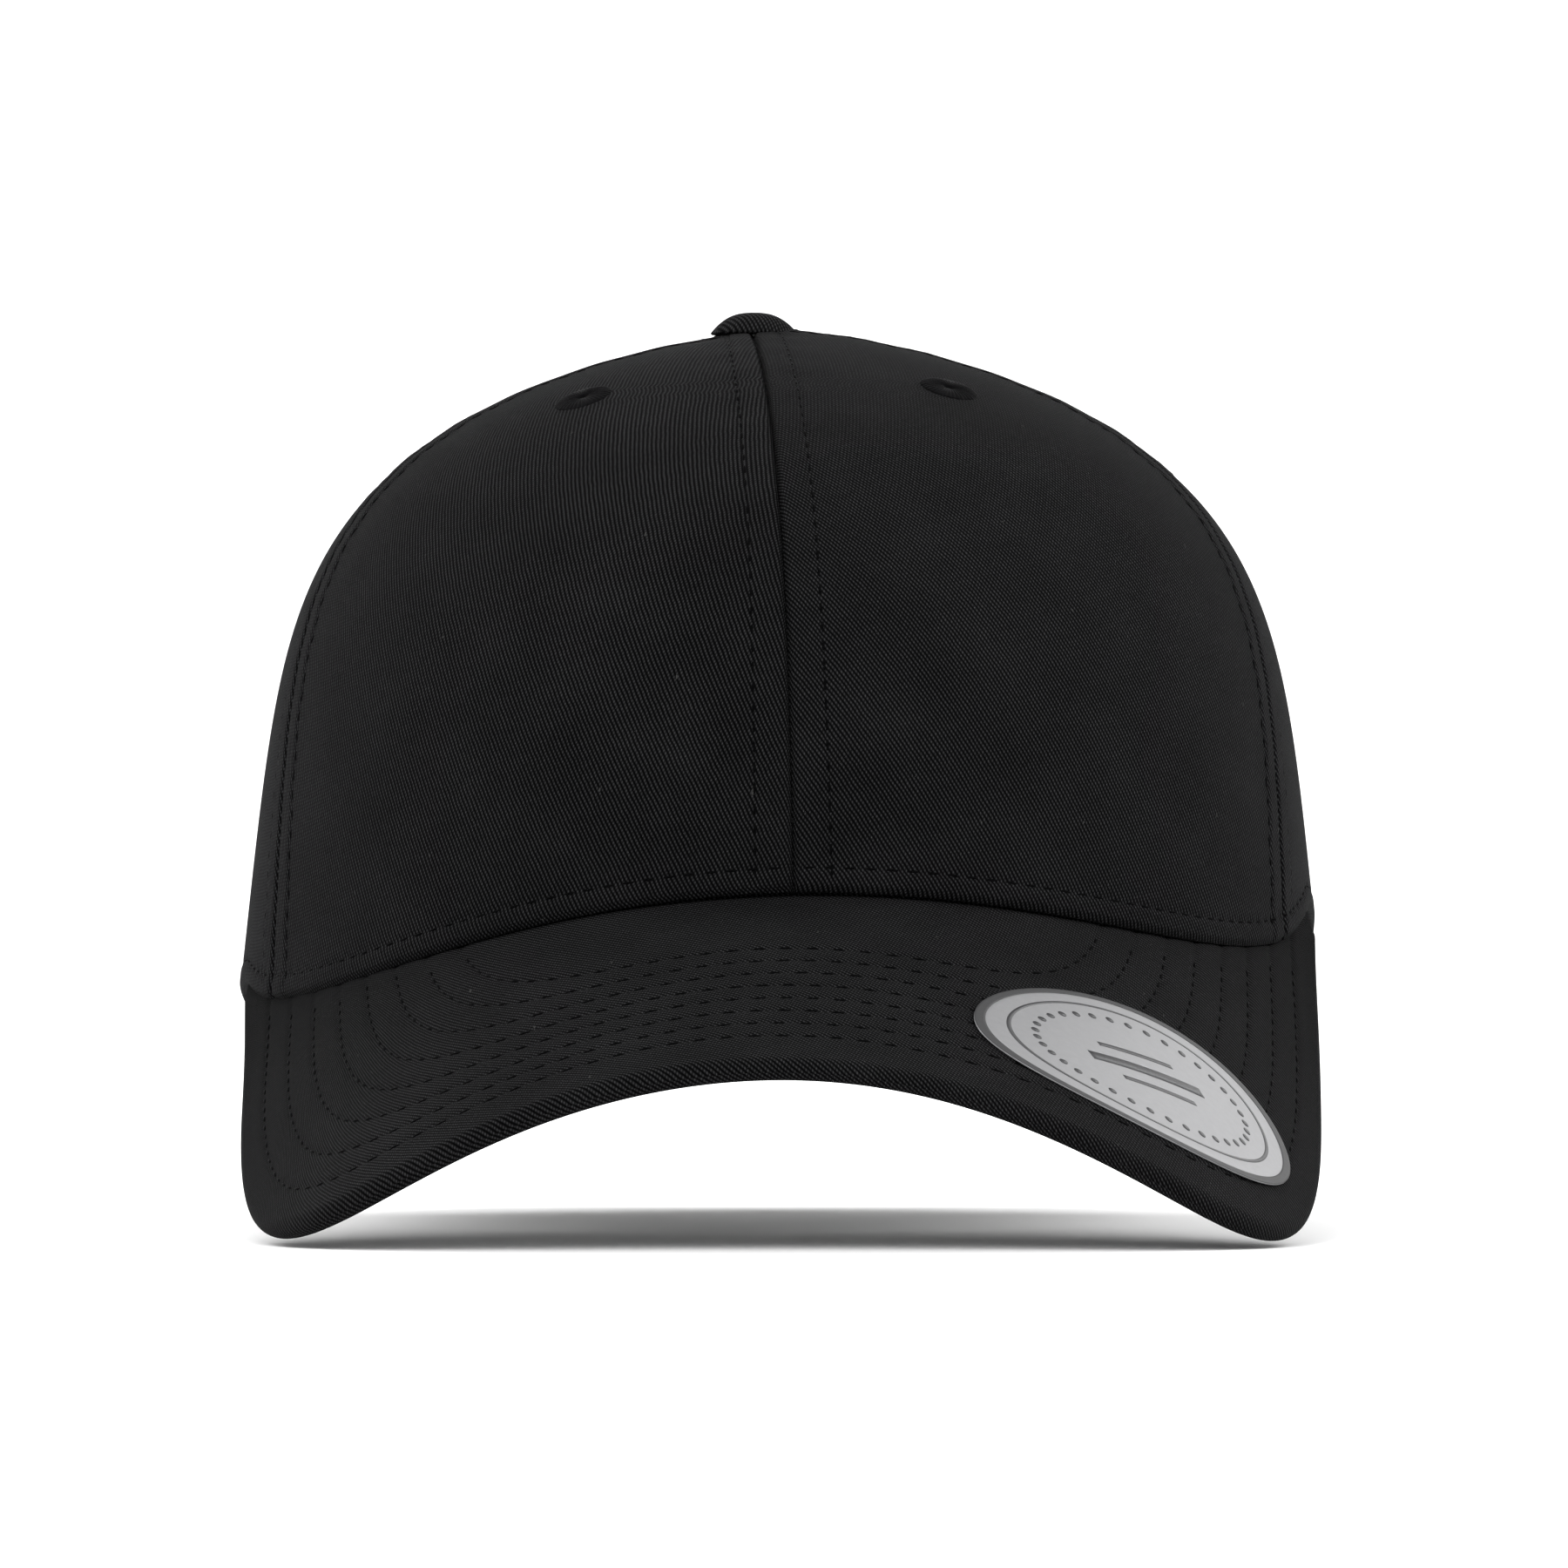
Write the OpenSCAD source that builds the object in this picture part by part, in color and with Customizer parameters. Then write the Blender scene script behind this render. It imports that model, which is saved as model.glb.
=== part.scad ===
// Six-panel snapback cap with a curved visor, held level as on a head.
// +X is the wearer's left, the visor points to -Y and +Z is up.
// The origin is level with the visor's tips, below the middle of the head opening.

/* [Crown] */
// Breadth of the crown at its lower edge
crown_w = 174.4; // [170:0.2:180]
// Length of the crown from front to rear
crown_l = 202; // [198:1:206]
// Height of the crown's apex above the visor's tips
crown_h = 141.7; // [140:0.1:146]
// Height of the rear edge above the visor's tips
rear_z = 21; // [18:0.5:24]
// How far the button stands to the wearer's right of the middle
button_shift = 5; // [0:0.5:6]
// Thickness of the outer twill
panel_t = 0.8; // [0.7:0.1:0.9]

/* [Visor] */
// Half of the visor's breadth
visor_half_w = 82.3; // [81.5:0.1:84]
// How far the visor's edge stands in front of the origin
visor_reach = 160; // [158:1:164]
// Height of the middle of the visor's edge
visor_front_z = 27.5; // [27:0.5:29]
// Radius that the visor is bent to
visor_bend_r = 98; // [96:1:101]
// Forward slope of the visor, as rise over run
visor_slope = 0.382; // [0.372:0.002:0.39]
// Rise of the wearer's left side over the right at the crown
visor_twist = 4.6; // [0:0.2:4.6]
// Thickness of the plastic board in the visor
board_t = 2; // [1.8:0.1:2.2]

/* [Rear closure] */
// Half of the width of the rear opening
arch_r = 42; // [40:1:43]
// Height of the centre of the arch above the rear edge
arch_rise = 13.6; // [12:0.2:16]
// Distance between two snap pegs
snap_pitch = 8; // [7.6:0.1:8.4]
// Number of pegs, and of holes
snap_count = 7; // [6:1:7]

/* [Trim] */
// Outer radius of a sewn eyelet
eyelet_r = 4.65; // [4.2:0.05:5]
// Radius of the covered button
button_r = 6.9; // [6.5:0.1:7.4]
// Half of the sticker's length
sticker_half_l = 31; // [26:0.5:31]
// Half of the sticker's width
sticker_half_w = 19.5; // [17:0.5:20]

/* [Hidden] */
$fn = 48;

cloth = [0.13, 0.13, 0.14];
backing = [0.86, 0.86, 0.84];
plastic = [0.09, 0.09, 0.1];

// Crown shape: each heading has its own fullness, for the front, the sides and the rear.
wall_z = 24;
dome_h = crown_h - wall_z;
plan_power = 2.1;
lean = 0.00115;
foot_power = [1.55, 1.45, 1.8];
top_power = [4.5, 6, 3.2];
apex_pull = [-button_shift / (crown_w / 2), 0];
visor_end_a = 76;
rear_flat_a = 142;

// Depths of the layers, from the outer face of the crown inwards.
layer_gap = 0.2;
buckram_d = panel_t + layer_gap;
buckram_t = 0.7;
buckram_high_v = 0.94;
tape_d = buckram_d + buckram_t + layer_gap;
tape_t = 0.5;
tape_half_w = 6;
tape_low_v = 0.02;
tape_high_v = 0.85;
back_tape_v = 0.39;
band_d = tape_d + tape_t + 0.2;
band_rear_d = 7.5;
band_t = 1.6;
band_h = 31;
arch_tape_d = panel_t + 0.45;
arch_tape_t = 0.45;
arch_tape_w = 10;
seam_gap = 0.15;
crown_gap = 0.9;

// Seams: the heading at the lower edge and at the button, from the front round by the left side.
seams = [[1.15, 0], [62.5, 82], [122, 132], [180, 180], [238, 228], [297.5, 278], [361.15, 360]];
top_v = 0.972;
panel_cols = 14;
panel_rows = 16;

// Eyelets stand in the middle of each panel.
eyelet_v = 0.69;
eyelet_hole_r = 1.6;
eyelet_barrel_r = 2.5;
panel_hole_r = 2.65;

// Covered button.
button_lift = 0.25;
button_top = 3.3;
button_ball_r = 9.4;
button_fit = 0.15;
button_hem_t = 0.5;
button_hem_w = 1.2;
tack_r = 1.6;
tack_grip = 1.2;
washer_drop = 4.4;

// Visor layers. The bend opens out and the sides spread towards the crown. The corner on the
// wearer's left is the squarer one.
visor_flare = 0.11;
visor_spread = 0.0003;
cover_t = 0.7;
board_gap = 0.1;
visor_t = board_t + 2 * cover_t + 2 * board_gap;
visor_centre_y = -20;
visor_power = 5.2;
visor_corner = 0.4;
visor_span = 85;
visor_cols = 24;
visor_rows = 6;
visor_inset = 0.6;

// Straps: arcs about one upright axis.
arch_z = rear_z + arch_rise;
strap_cy = 16;
strap_t = 1.4;
strap_gap = 0.3;
strap_z = rear_z + 1.2;
strap_h = 18;
strap_outer_r = 80.9;
hole_strap_r = strap_outer_r - strap_t;
peg_strap_r = hole_strap_r - strap_gap - strap_t;
strap_pitch_a = snap_pitch / hole_strap_r * 180 / PI;
strap_turn_a = asin((arch_r - 1.8) / strap_outer_r);
strap_split_a = 0.15;
strap_sewn_a = 12;
strap_first = 4;
strap_end_a = 3.4;
strap_free_a = (snap_count - 1 - strap_first) * strap_pitch_a + strap_end_a;
peg_r = 1.95;
peg_h = 2.7;
strap_hole_r = 2.9;

// Care label, hanging from a seam tape.
label_v = 0.5;
label_w = 26;
label_h = 32;
label_t = 0.5;
label_drop = 1.6;

function lerp(a, b, t) = a + (b - a) * t;
function heading(a) = [sin(a), -cos(a)];
function by_heading(v, e) =
    v[0] * pow(max(0, -e[1]), 2) + v[1] * pow(e[0], 2) + v[2] * pow(max(0, e[1]), 2);
function power_r(e, half_w, half_l, power) =
    1 / pow(pow(abs(e[0]) / half_w, power) + pow(abs(e[1]) / half_l, power), 1 / power);
function plan_r(e) = power_r(e, crown_w / 2, crown_l / 2, plan_power);

// A point of the crown's outer face at heading a and height z.
function crown_at_z(a, z) =
    let (
        e = heading(a),
        rise = min(1, max(0, (z - wall_z) / dome_h)),
        m = pow(1 - pow(rise, by_heading(top_power, e)), 1 / by_heading(foot_power, e)),
        w = m * e + apex_pull * (1 - m),
        reach = norm(w),
        f = reach > 0.0001 ? w / reach : e,
        up = pow(max(0, 1 - pow(reach, by_heading(foot_power, f))), 1 / by_heading(top_power, f)),
        height = rise > 0 ? wall_z + dome_h * up : z,
        r = plan_r(f) * reach * (1 - lean * max(0, height - wall_z))
    )
    [r * f[0], r * f[1], height];

// Height of the visor's upper face.
function bend_r(y) = visor_bend_r + (y + 150) * visor_flare;
function sheet_z(x, y) =
    visor_front_z + (y + visor_reach) * visor_slope
    - (bend_r(y) - sqrt(pow(bend_r(y), 2) - x * x))
    + visor_twist * x / (crown_w / 2) * (y + 150) / 115;

// Lower edge of the crown: just above the visor in front, level behind.
function fold_a(a) = a > 180 ? a - 360 : a;
function visor_line_z(a) =
    let (p = crown_at_z(a, 0), q = crown_at_z(a, sheet_z(p[0], p[1])))
    sheet_z(q[0], q[1]) + crown_gap;
function edge_z(a) =
    let (b = fold_a(a), s = abs(b))
    s <= visor_end_a ? visor_line_z(b) :
    let (
        side = visor_line_z(visor_end_a * sign(b)),
        t = min(1, (s - visor_end_a) / (rear_flat_a - visor_end_a))
    )
    lerp(rear_z, side, 0.5 + 0.5 * cos(180 * t));

// v runs from 0 at the lower edge to 1 at the apex; d is the distance outside the outer face.
function crown_v(a, v) = let (low = edge_z(a)) crown_at_z(a, low + (crown_h - low) * sin(90 * v));
function crown_normal(a, v) =
    let (
        across = crown_v(a + 0.5, v) - crown_v(a - 0.5, v),
        along = crown_v(a, v + 0.004) - crown_v(a, v - 0.004),
        n = cross(across, along)
    )
    n / norm(n);
function crown(a, v, d) = crown_v(a, v) + crown_normal(a, v) * d;
function v_of_height(a, h) = asin(h / (crown_h - edge_z(a))) / 90;
function seam_a(k, v) = lerp(seams[k][0], seams[k][1], v);
function turn_for(a, v, width) =
    let (p = crown_v(a, v))
    width / max(1, norm([p[0] + button_shift, p[1]])) * 180 / PI;
function mid_a(k, v) = (seam_a(k, v) + seam_a(k + 1, v)) / 2;

// A point of the visor: u from -1 to 1 across, v from 0 at the crown to 1 at the edge,
// and d above the upper face.
function visor_edge(u) =
    let (
        e = heading(u * visor_span),
        power = visor_power + (u > 0 ? visor_corner : 0),
        r = power_r(e, visor_half_w, visor_reach + visor_centre_y, power),
        y = visor_centre_y + r * e[1]
    )
    [r * e[0] * (1 + visor_spread * (y + 110)), y];
function visor_root(u) =
    let (p = crown_v(u * visor_end_a, 0), k = 1 - visor_inset / norm([p[0], p[1]]))
    [p[0] * k, p[1] * k];
function sheet_normal(x, y) =
    let (
        dx = sheet_z(x + 0.1, y) - sheet_z(x - 0.1, y),
        dy = sheet_z(x, y + 0.1) - sheet_z(x, y - 0.1),
        n = [-dx / 0.2, -dy / 0.2, 1]
    )
    n / norm(n);
function on_sheet(x, y, d) = [x, y, sheet_z(x, y)] + sheet_normal(x, y) * d;
function visor(u, v, d) =
    let (p = lerp(visor_root(u), visor_edge(u), v))
    on_sheet(p[0], p[1], d);

// A closed skin between two grids of points. Seen from outside, i runs to the right and j upwards.
module skin(outer, inner) {
    ni = len(outer);
    nj = len(outer[0]);
    n = ni * nj;
    function at(i, j) = i * nj + j;
    function two(a, b, c, d) = [[a, b, c], [a, c, d]];
    faces = concat(
        [for (i = [0:ni - 2], j = [0:nj - 2], f = two(at(i, j), at(i, j + 1), at(i + 1, j + 1), at(i + 1, j))) f],
        [for (i = [0:ni - 2], j = [0:nj - 2], f = two(
            n + at(i, j), n + at(i + 1, j), n + at(i + 1, j + 1), n + at(i, j + 1)
        )) f],
        [for (i = [0:ni - 2], f = two(at(i, 0), at(i + 1, 0), n + at(i + 1, 0), n + at(i, 0))) f],
        [for (i = [0:ni - 2], f = two(
            at(i, nj - 1), n + at(i, nj - 1), n + at(i + 1, nj - 1), at(i + 1, nj - 1)
        )) f],
        [for (j = [0:nj - 2], f = two(at(0, j), n + at(0, j), n + at(0, j + 1), at(0, j + 1))) f],
        [for (j = [0:nj - 2], f = two(
            at(ni - 1, j), at(ni - 1, j + 1), n + at(ni - 1, j + 1), n + at(ni - 1, j)
        )) f]
    );
    polyhedron([for (row = outer, p = row) p, for (row = inner, p = row) p], faces);
}

// Puts a child's Z axis on the crown's outward normal.
module on_crown(a, v, d) {
    n = crown_normal(a, v);
    translate(crown(a, v, d))
        rotate([0, acos(n[2]), atan2(n[1], n[0])])
            children();
}

module panel_skin(k, low_v, high_v, d, t) {
    function grid(depth) = [
        for (i = [0:panel_cols]) [
            for (j = [0:panel_rows])
                let (
                    v = lerp(low_v, high_v, j / panel_rows),
                    left = seam_a(k, v),
                    right = seam_a(k + 1, v),
                    trim = turn_for(left, v, seam_gap / 2)
                )
                crown(lerp(left + trim, right - trim, i / panel_cols), v, depth)
        ]
    ];
    skin(grid(-d), grid(-d - t));
}

module eyelet_cut(k) {
    reach = 4;
    on_crown(mid_a(k, eyelet_v), eyelet_v, -reach)
        cylinder(r = panel_hole_r, h = 2 * reach);
}

module arch_cut(r) {
    translate([0, strap_cy, arch_z])
        rotate([-90, 0, 0])
            cylinder(r = r, h = crown_l / 2);
    translate([-r, strap_cy, arch_z - crown_h])
        cube([2 * r, crown_l / 2, crown_h]);
}

module panel(k) {
    color(cloth)
        difference() {
            panel_skin(k, 0, top_v, 0, panel_t);
            eyelet_cut(k);
            if (k == 2 || k == 3)
                arch_cut(arch_r);
        }
}

module buckram(k) {
    color(backing)
        difference() {
            panel_skin(k, tape_low_v, buckram_high_v, buckram_d, buckram_t);
            eyelet_cut(k);
        }
}

// A sewn ring: a rounded face outside, a barrel through the layers and a collar inside.
module eyelet(k) {
    depth = (k == 0 || k == 5) ? buckram_d + buckram_t : panel_t;
    face_t = 0.6;
    rim_t = 0.3;
    clear = 0.06;
    bevel = 0.8;
    collar_t = 0.45;
    collar_r = eyelet_r - 0.6;
    sag = 0.3;
    collar_top = -depth - sag;
    color(cloth)
        on_crown(mid_a(k, eyelet_v), eyelet_v, 0)
            rotate_extrude()
                polygon([
                    [eyelet_hole_r, collar_top - collar_t], [collar_r, collar_top - collar_t],
                    [collar_r, collar_top], [eyelet_barrel_r, collar_top],
                    [eyelet_barrel_r, clear], [eyelet_r, clear],
                    [eyelet_r, rim_t], [eyelet_r - bevel, face_t], [eyelet_hole_r, face_t]
                ]);
}

module seam_tape(k, low_v) {
    rows = 18;
    function grid(depth) = [
        for (side = [-1, 0, 1]) [
            for (j = [0:rows])
                let (v = lerp(low_v, tape_high_v, j / rows), a = seam_a(k, v))
                crown(a + side * turn_for(a, v, tape_half_w), v, depth)
        ]
    ];
    color(cloth)
        skin(grid(-tape_d), grid(-tape_d - tape_t));
}

function apex() = crown_at_z(0, crown_h);

// The cap of a ball, cut off flat at the base and straight down the side.
module dome(side_r, base_z, top_z, ball_r) {
    intersection() {
        translate([0, 0, top_z - ball_r])
            sphere(r = ball_r, $fn = 96);
        translate([0, 0, base_z])
            cylinder(r = side_r, h = top_z - base_z);
    }
}

module button_cover() {
    inside_r = button_r - cover_t;
    color(cloth)
        translate(apex() + [0, 0, button_lift])
            difference() {
                dome(button_r, 0, button_top, button_ball_r);
                dome(inside_r, button_hem_t, button_top - cover_t, button_ball_r - cover_t);
                cylinder(r = inside_r - button_hem_w, h = 2 * button_hem_t, center = true);
            }
}

module button_shell() {
    inset = cover_t + button_fit;
    base_z = button_hem_t + button_fit;
    color("silver")
        translate(apex() + [0, 0, button_lift])
            difference() {
                dome(button_r - inset, base_z, button_top - inset, button_ball_r - inset);
                translate([0, 0, base_z])
                    cylinder(r = tack_r + button_fit, h = 2 * tack_grip, center = true);
            }
}

// The washer lies under the seam tapes and its stem goes up into the shell.
module button_tack() {
    washer_r = 5;
    washer_t = 0.8;
    color("silver")
        translate(apex() + [0, 0, -washer_drop]) {
            cylinder(r = washer_r, h = washer_t);
            cylinder(r = tack_r, h = washer_drop + button_lift + button_hem_t + tack_grip);
        }
}

// The band stands off further behind, where the straps pass between it and the panels.
module sweatband() {
    cols = 72;
    rows = 3;
    end_a = 153;
    spread_a = 118;
    spread_turn = 20;
    low_h = 0.8;
    function depth_at(a) =
        let (t = min(1, max(0, (abs(a) - spread_a) / spread_turn)))
        lerp(band_d, band_rear_d, t * t * (3 - 2 * t));
    function grid(extra) = [
        for (i = [0:cols]) [
            for (j = [0:rows])
                let (a = lerp(-end_a, end_a, i / cols), v = v_of_height(a, lerp(low_h, band_h, j / rows)))
                crown(a, v, -depth_at(a) - extra)
        ]
    ];
    color(cloth)
        skin(grid(0), grid(band_t));
}

module arch_tape() {
    low_a = 180 - 40;
    cols = 40;
    rows = 16;
    low_h = 0.3;
    high_h = arch_rise + arch_r + arch_tape_w + 6;
    function grid(depth) = [
        for (i = [0:cols]) [
            for (j = [0:rows])
                let (a = lerp(low_a, 360 - low_a, i / cols), v = v_of_height(a, lerp(low_h, high_h, j / rows)))
                crown(a, v, -depth)
        ]
    ];
    color(cloth)
        difference() {
            intersection() {
                skin(grid(arch_tape_d), grid(arch_tape_d + arch_tape_t));
                arch_cut(arch_r + arch_tape_w);
            }
            arch_cut(arch_r);
        }
}

// A visor layer; the list holds [v, outer depth, inner depth] from the crown to the edge.
module visor_layer(stations) {
    function grid(side) = [
        for (i = [0:visor_cols]) [
            for (s = stations)
                visor(lerp(1, -1, i / visor_cols), s[0], s[side])
        ]
    ];
    skin(grid(1), grid(2));
}
function even_stations(last_v, top_d, low_d) = [for (j = [0:visor_rows]) [last_v * j / visor_rows, top_d, low_d]];

module visor_board() {
    color("dimgray")
        visor_layer(even_stations(0.965, -cover_t - board_gap, -cover_t - board_gap - board_t));
}

module visor_top_cover() {
    color(cloth)
        visor_layer(even_stations(1, 0, -cover_t));
}

module visor_under_cover() {
    color(cloth)
        visor_layer(even_stations(1, cover_t - visor_t, -visor_t));
}

module visor_sticker() {
    cols = 14;
    rows = 4;
    tilt = 29.5;
    centre = [57.4, -135];
    flat_to_plan = cos(atan(visor_slope));
    lift = 0.06;
    foil_t = 0.2;
    function spot(i, j) =
        let (
            s = -cos(lerp(10, 170, i / cols)),
            t = lerp(-1, 1, j / rows) * sqrt(1 - s * s),
            x = s * sticker_half_l,
            y = t * sticker_half_w
        )
        [
            visor_bend_r * sin((centre[0] + x * cos(tilt) - y * sin(tilt)) / visor_bend_r * 180 / PI),
            flat_to_plan * (centre[1] + x * sin(tilt) + y * cos(tilt))
        ];
    function grid(d) = [for (i = [0:cols]) [for (j = [0:rows]) let (p = spot(i, j)) on_sheet(p[0], p[1], d)]];
    color("silver")
        skin(grid(lift + foil_t), grid(lift));
}

// A strip of the strap ring between two angles, measured from +Y towards +X.
module strap_arc(r, from_a, to_a) {
    translate([0, strap_cy, strap_z])
        rotate([0, 0, 90 - to_a])
            rotate_extrude(angle = to_a - from_a, $fn = 180)
                translate([r, 0])
                    square([strap_t, strap_h]);
}

module at_strap(a, r) {
    translate([0, strap_cy, strap_z + strap_h / 2])
        rotate([0, 0, -a])
            translate([0, r, 0])
                rotate([-90, 0, 0])
                    children();
}

module hole_strap() {
    color(plastic)
        difference() {
            strap_arc(hole_strap_r, -strap_free_a, strap_turn_a);
            for (k = [0:snap_count - 1])
                at_strap((strap_first - k) * strap_pitch_a, hole_strap_r - strap_t)
                    cylinder(r = strap_hole_r, h = 3 * strap_t);
        }
}

module hole_strap_root() {
    color(plastic)
        strap_arc(hole_strap_r, strap_turn_a + strap_split_a, strap_turn_a + strap_sewn_a);
}

module peg_strap() {
    dome_r = 2.6;
    color(plastic) {
        strap_arc(peg_strap_r, -strap_turn_a, strap_free_a);
        for (k = [0:snap_count - 1])
            at_strap(-(strap_first - k) * strap_pitch_a, peg_strap_r + strap_t / 2)
                intersection() {
                    cylinder(r = peg_r, h = peg_h + strap_t / 2);
                    translate([0, 0, peg_h + strap_t / 2 - dome_r])
                        sphere(r = dome_r);
                }
    }
}

module peg_strap_root() {
    color(plastic)
        strap_arc(peg_strap_r, -strap_turn_a - strap_sewn_a, -strap_turn_a - strap_split_a);
}

module care_label() {
    a = seam_a(2, label_v);
    p = crown(a, label_v, -tape_d - tape_t - label_drop);
    color("white")
        translate(p)
            rotate([0, 0, a])
                translate([-label_w / 2, -label_t / 2, -label_h])
                    cube([label_w, label_t, label_h]);
}

panel(0);  // front_panel_left
panel(1);  // side_panel_left
panel(2);  // rear_panel_left
panel(3);  // rear_panel_right
panel(4);  // side_panel_right
panel(5);  // front_panel_right
eyelet(0);  // eyelet_front_left
eyelet(1);  // eyelet_side_left
eyelet(2);  // eyelet_rear_left
eyelet(3);  // eyelet_rear_right
eyelet(4);  // eyelet_side_right
eyelet(5);  // eyelet_front_right
buckram(0);  // buckram_left
buckram(5);  // buckram_right
seam_tape(0, tape_low_v);  // seam_tape_front
seam_tape(1, tape_low_v);  // seam_tape_side_left
seam_tape(2, tape_low_v);  // seam_tape_rear_left
seam_tape(3, back_tape_v);  // seam_tape_back
seam_tape(4, tape_low_v);  // seam_tape_rear_right
seam_tape(5, tape_low_v);  // seam_tape_side_right
button_cover();
button_shell();
button_tack();
sweatband();
arch_tape();
visor_board();
visor_top_cover();
visor_under_cover();
visor_sticker();
hole_strap();
hole_strap_root();
peg_strap();
peg_strap_root();
care_label();
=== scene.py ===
"""Looks of a black six-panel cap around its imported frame. Lengths are millimetres until a mesh is made."""

import math
import random

import bmesh
import bpy
import numpy as np
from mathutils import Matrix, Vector


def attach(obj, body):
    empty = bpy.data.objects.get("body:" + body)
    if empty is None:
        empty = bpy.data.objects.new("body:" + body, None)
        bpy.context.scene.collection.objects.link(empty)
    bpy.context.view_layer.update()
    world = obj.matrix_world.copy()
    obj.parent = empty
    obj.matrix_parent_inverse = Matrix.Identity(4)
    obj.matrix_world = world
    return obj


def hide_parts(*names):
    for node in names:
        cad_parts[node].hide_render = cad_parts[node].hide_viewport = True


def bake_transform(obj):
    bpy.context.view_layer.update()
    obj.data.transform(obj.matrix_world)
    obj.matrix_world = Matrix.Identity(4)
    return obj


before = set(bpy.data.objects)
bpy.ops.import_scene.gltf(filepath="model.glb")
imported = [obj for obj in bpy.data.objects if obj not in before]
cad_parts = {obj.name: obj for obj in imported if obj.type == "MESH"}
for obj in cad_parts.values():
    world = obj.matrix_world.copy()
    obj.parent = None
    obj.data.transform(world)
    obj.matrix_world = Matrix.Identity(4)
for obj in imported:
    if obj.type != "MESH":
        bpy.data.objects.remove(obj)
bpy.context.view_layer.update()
MM = 0.001
rng = random.Random(7)

# ---------------- driving sizes, as in the frame

CROWN_W = 174.4
CROWN_L = 202.0
CROWN_H = 141.7
BUTTON_SHIFT = 5.0
REAR_Z = 21.0
PANEL_T = 0.8
VISOR_HALF_W = 82.3
VISOR_REACH = 160.0
VISOR_FRONT_Z = 27.5
VISOR_BEND_R = 98.0
VISOR_SLOPE = 0.382
VISOR_TWIST = 4.6
VISOR_FLARE = 0.11
VISOR_SPREAD = 0.0003
BOARD_T = 2.0
ARCH_R = 42.0
ARCH_TAPE_W = 10.0
ARCH_RISE = 13.6
ARCH_Z = REAR_Z + ARCH_RISE
SNAP_PITCH = 8.0
SNAP_COUNT = 7
EYELET_R = 4.65
BUTTON_R = 6.9
BUTTON_H = 3.3
LABEL_W = 26.0
LABEL_H = 32.0
LABEL_V = 0.5

WALL_Z = 24.0
DOME_H = CROWN_H - WALL_Z
PLAN_POWER = 2.1
LEAN = 0.00115
FOOT_POWER = (1.55, 1.45, 1.8)
TOP_POWER = (4.5, 6.0, 3.2)
APEX_PULL = -BUTTON_SHIFT / (CROWN_W / 2)
VISOR_END_A = 76.0
REAR_FLAT_A = 142.0
SEAMS = ((1.15, 0), (62.5, 82), (122, 132), (180, 180), (238, 228), (297.5, 278), (361.15, 360))
TOP_V = 0.972
EYELET_V = 0.69
EYELET_HOLE_R = 2.3
BUCKRAM_D = PANEL_T + 0.2
TAPE_D = BUCKRAM_D + 0.9
TAPE_HALF_W = 6.0
BAND_D = TAPE_D + 0.7
BAND_REAR_D = 7.5
BAND_T = 1.6
BAND_H = 31.0
BAND_END_A = 153.0
CROWN_GAP = 0.9
COVER_T = 0.7
VISOR_T = BOARD_T + 2 * COVER_T + 0.2
VISOR_CENTRE_Y = -20.0
VISOR_POWER = 5.2
VISOR_CORNER = 0.4
VISOR_SPAN = 85.0
VISOR_INSET = 0.6
STRAP_CY = 16.0
STRAP_T = 1.4
STRAP_Z = REAR_Z + 1.2
STRAP_H = 18.0
STRAP_MID_Z = STRAP_Z + STRAP_H / 2
STRAP_OUTER_R = 80.9
HOLE_STRAP_R = STRAP_OUTER_R - STRAP_T
PEG_STRAP_R = HOLE_STRAP_R - 0.3 - STRAP_T
STRAP_PITCH_A = math.degrees(SNAP_PITCH / HOLE_STRAP_R)
STRAP_TURN_A = math.degrees(math.asin((ARCH_R - 1.8) / STRAP_OUTER_R))
STRAP_SEWN_A = 12.0
STRAP_FIRST = 4
STRAP_END_A = 3.4
STRAP_CORNER_R = 5.0
STRAP_EDGE_R = 0.2
STRAP_HOLE_R = 2.9
PEG_R = 1.95

STITCH_PITCH = 3.2
VISOR_STITCH_PITCH = 4.0
THREAD_R = 0.2
THREAD_RINGS = 6
THREAD_SIDES = 6

# ---------------- crown surface
#
# a is a heading in degrees, from the front round by the wearer's left. v is 0 at the lower edge and 1 at
# the top. d is a distance outside the outer face. k numbers the panels and the seams before them.


def lerp(a, b, t):
    return a + (b - a) * t


def ease(t):
    c = np.clip(t, 0, 1)
    return c * c * (3 - 2 * c)


def bell(x, width):
    return np.exp(-((x / width) ** 2))


def by_heading(values, ex, ey):
    front, side, rear = values
    return front * np.maximum(0, -ey) ** 2 + side * ex**2 + rear * np.maximum(0, ey) ** 2


def plan_r(ex, ey):
    across = (np.abs(ex) / (CROWN_W / 2)) ** PLAN_POWER
    along = (np.abs(ey) / (CROWN_L / 2)) ** PLAN_POWER
    return (across + along) ** (-1 / PLAN_POWER)


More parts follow.
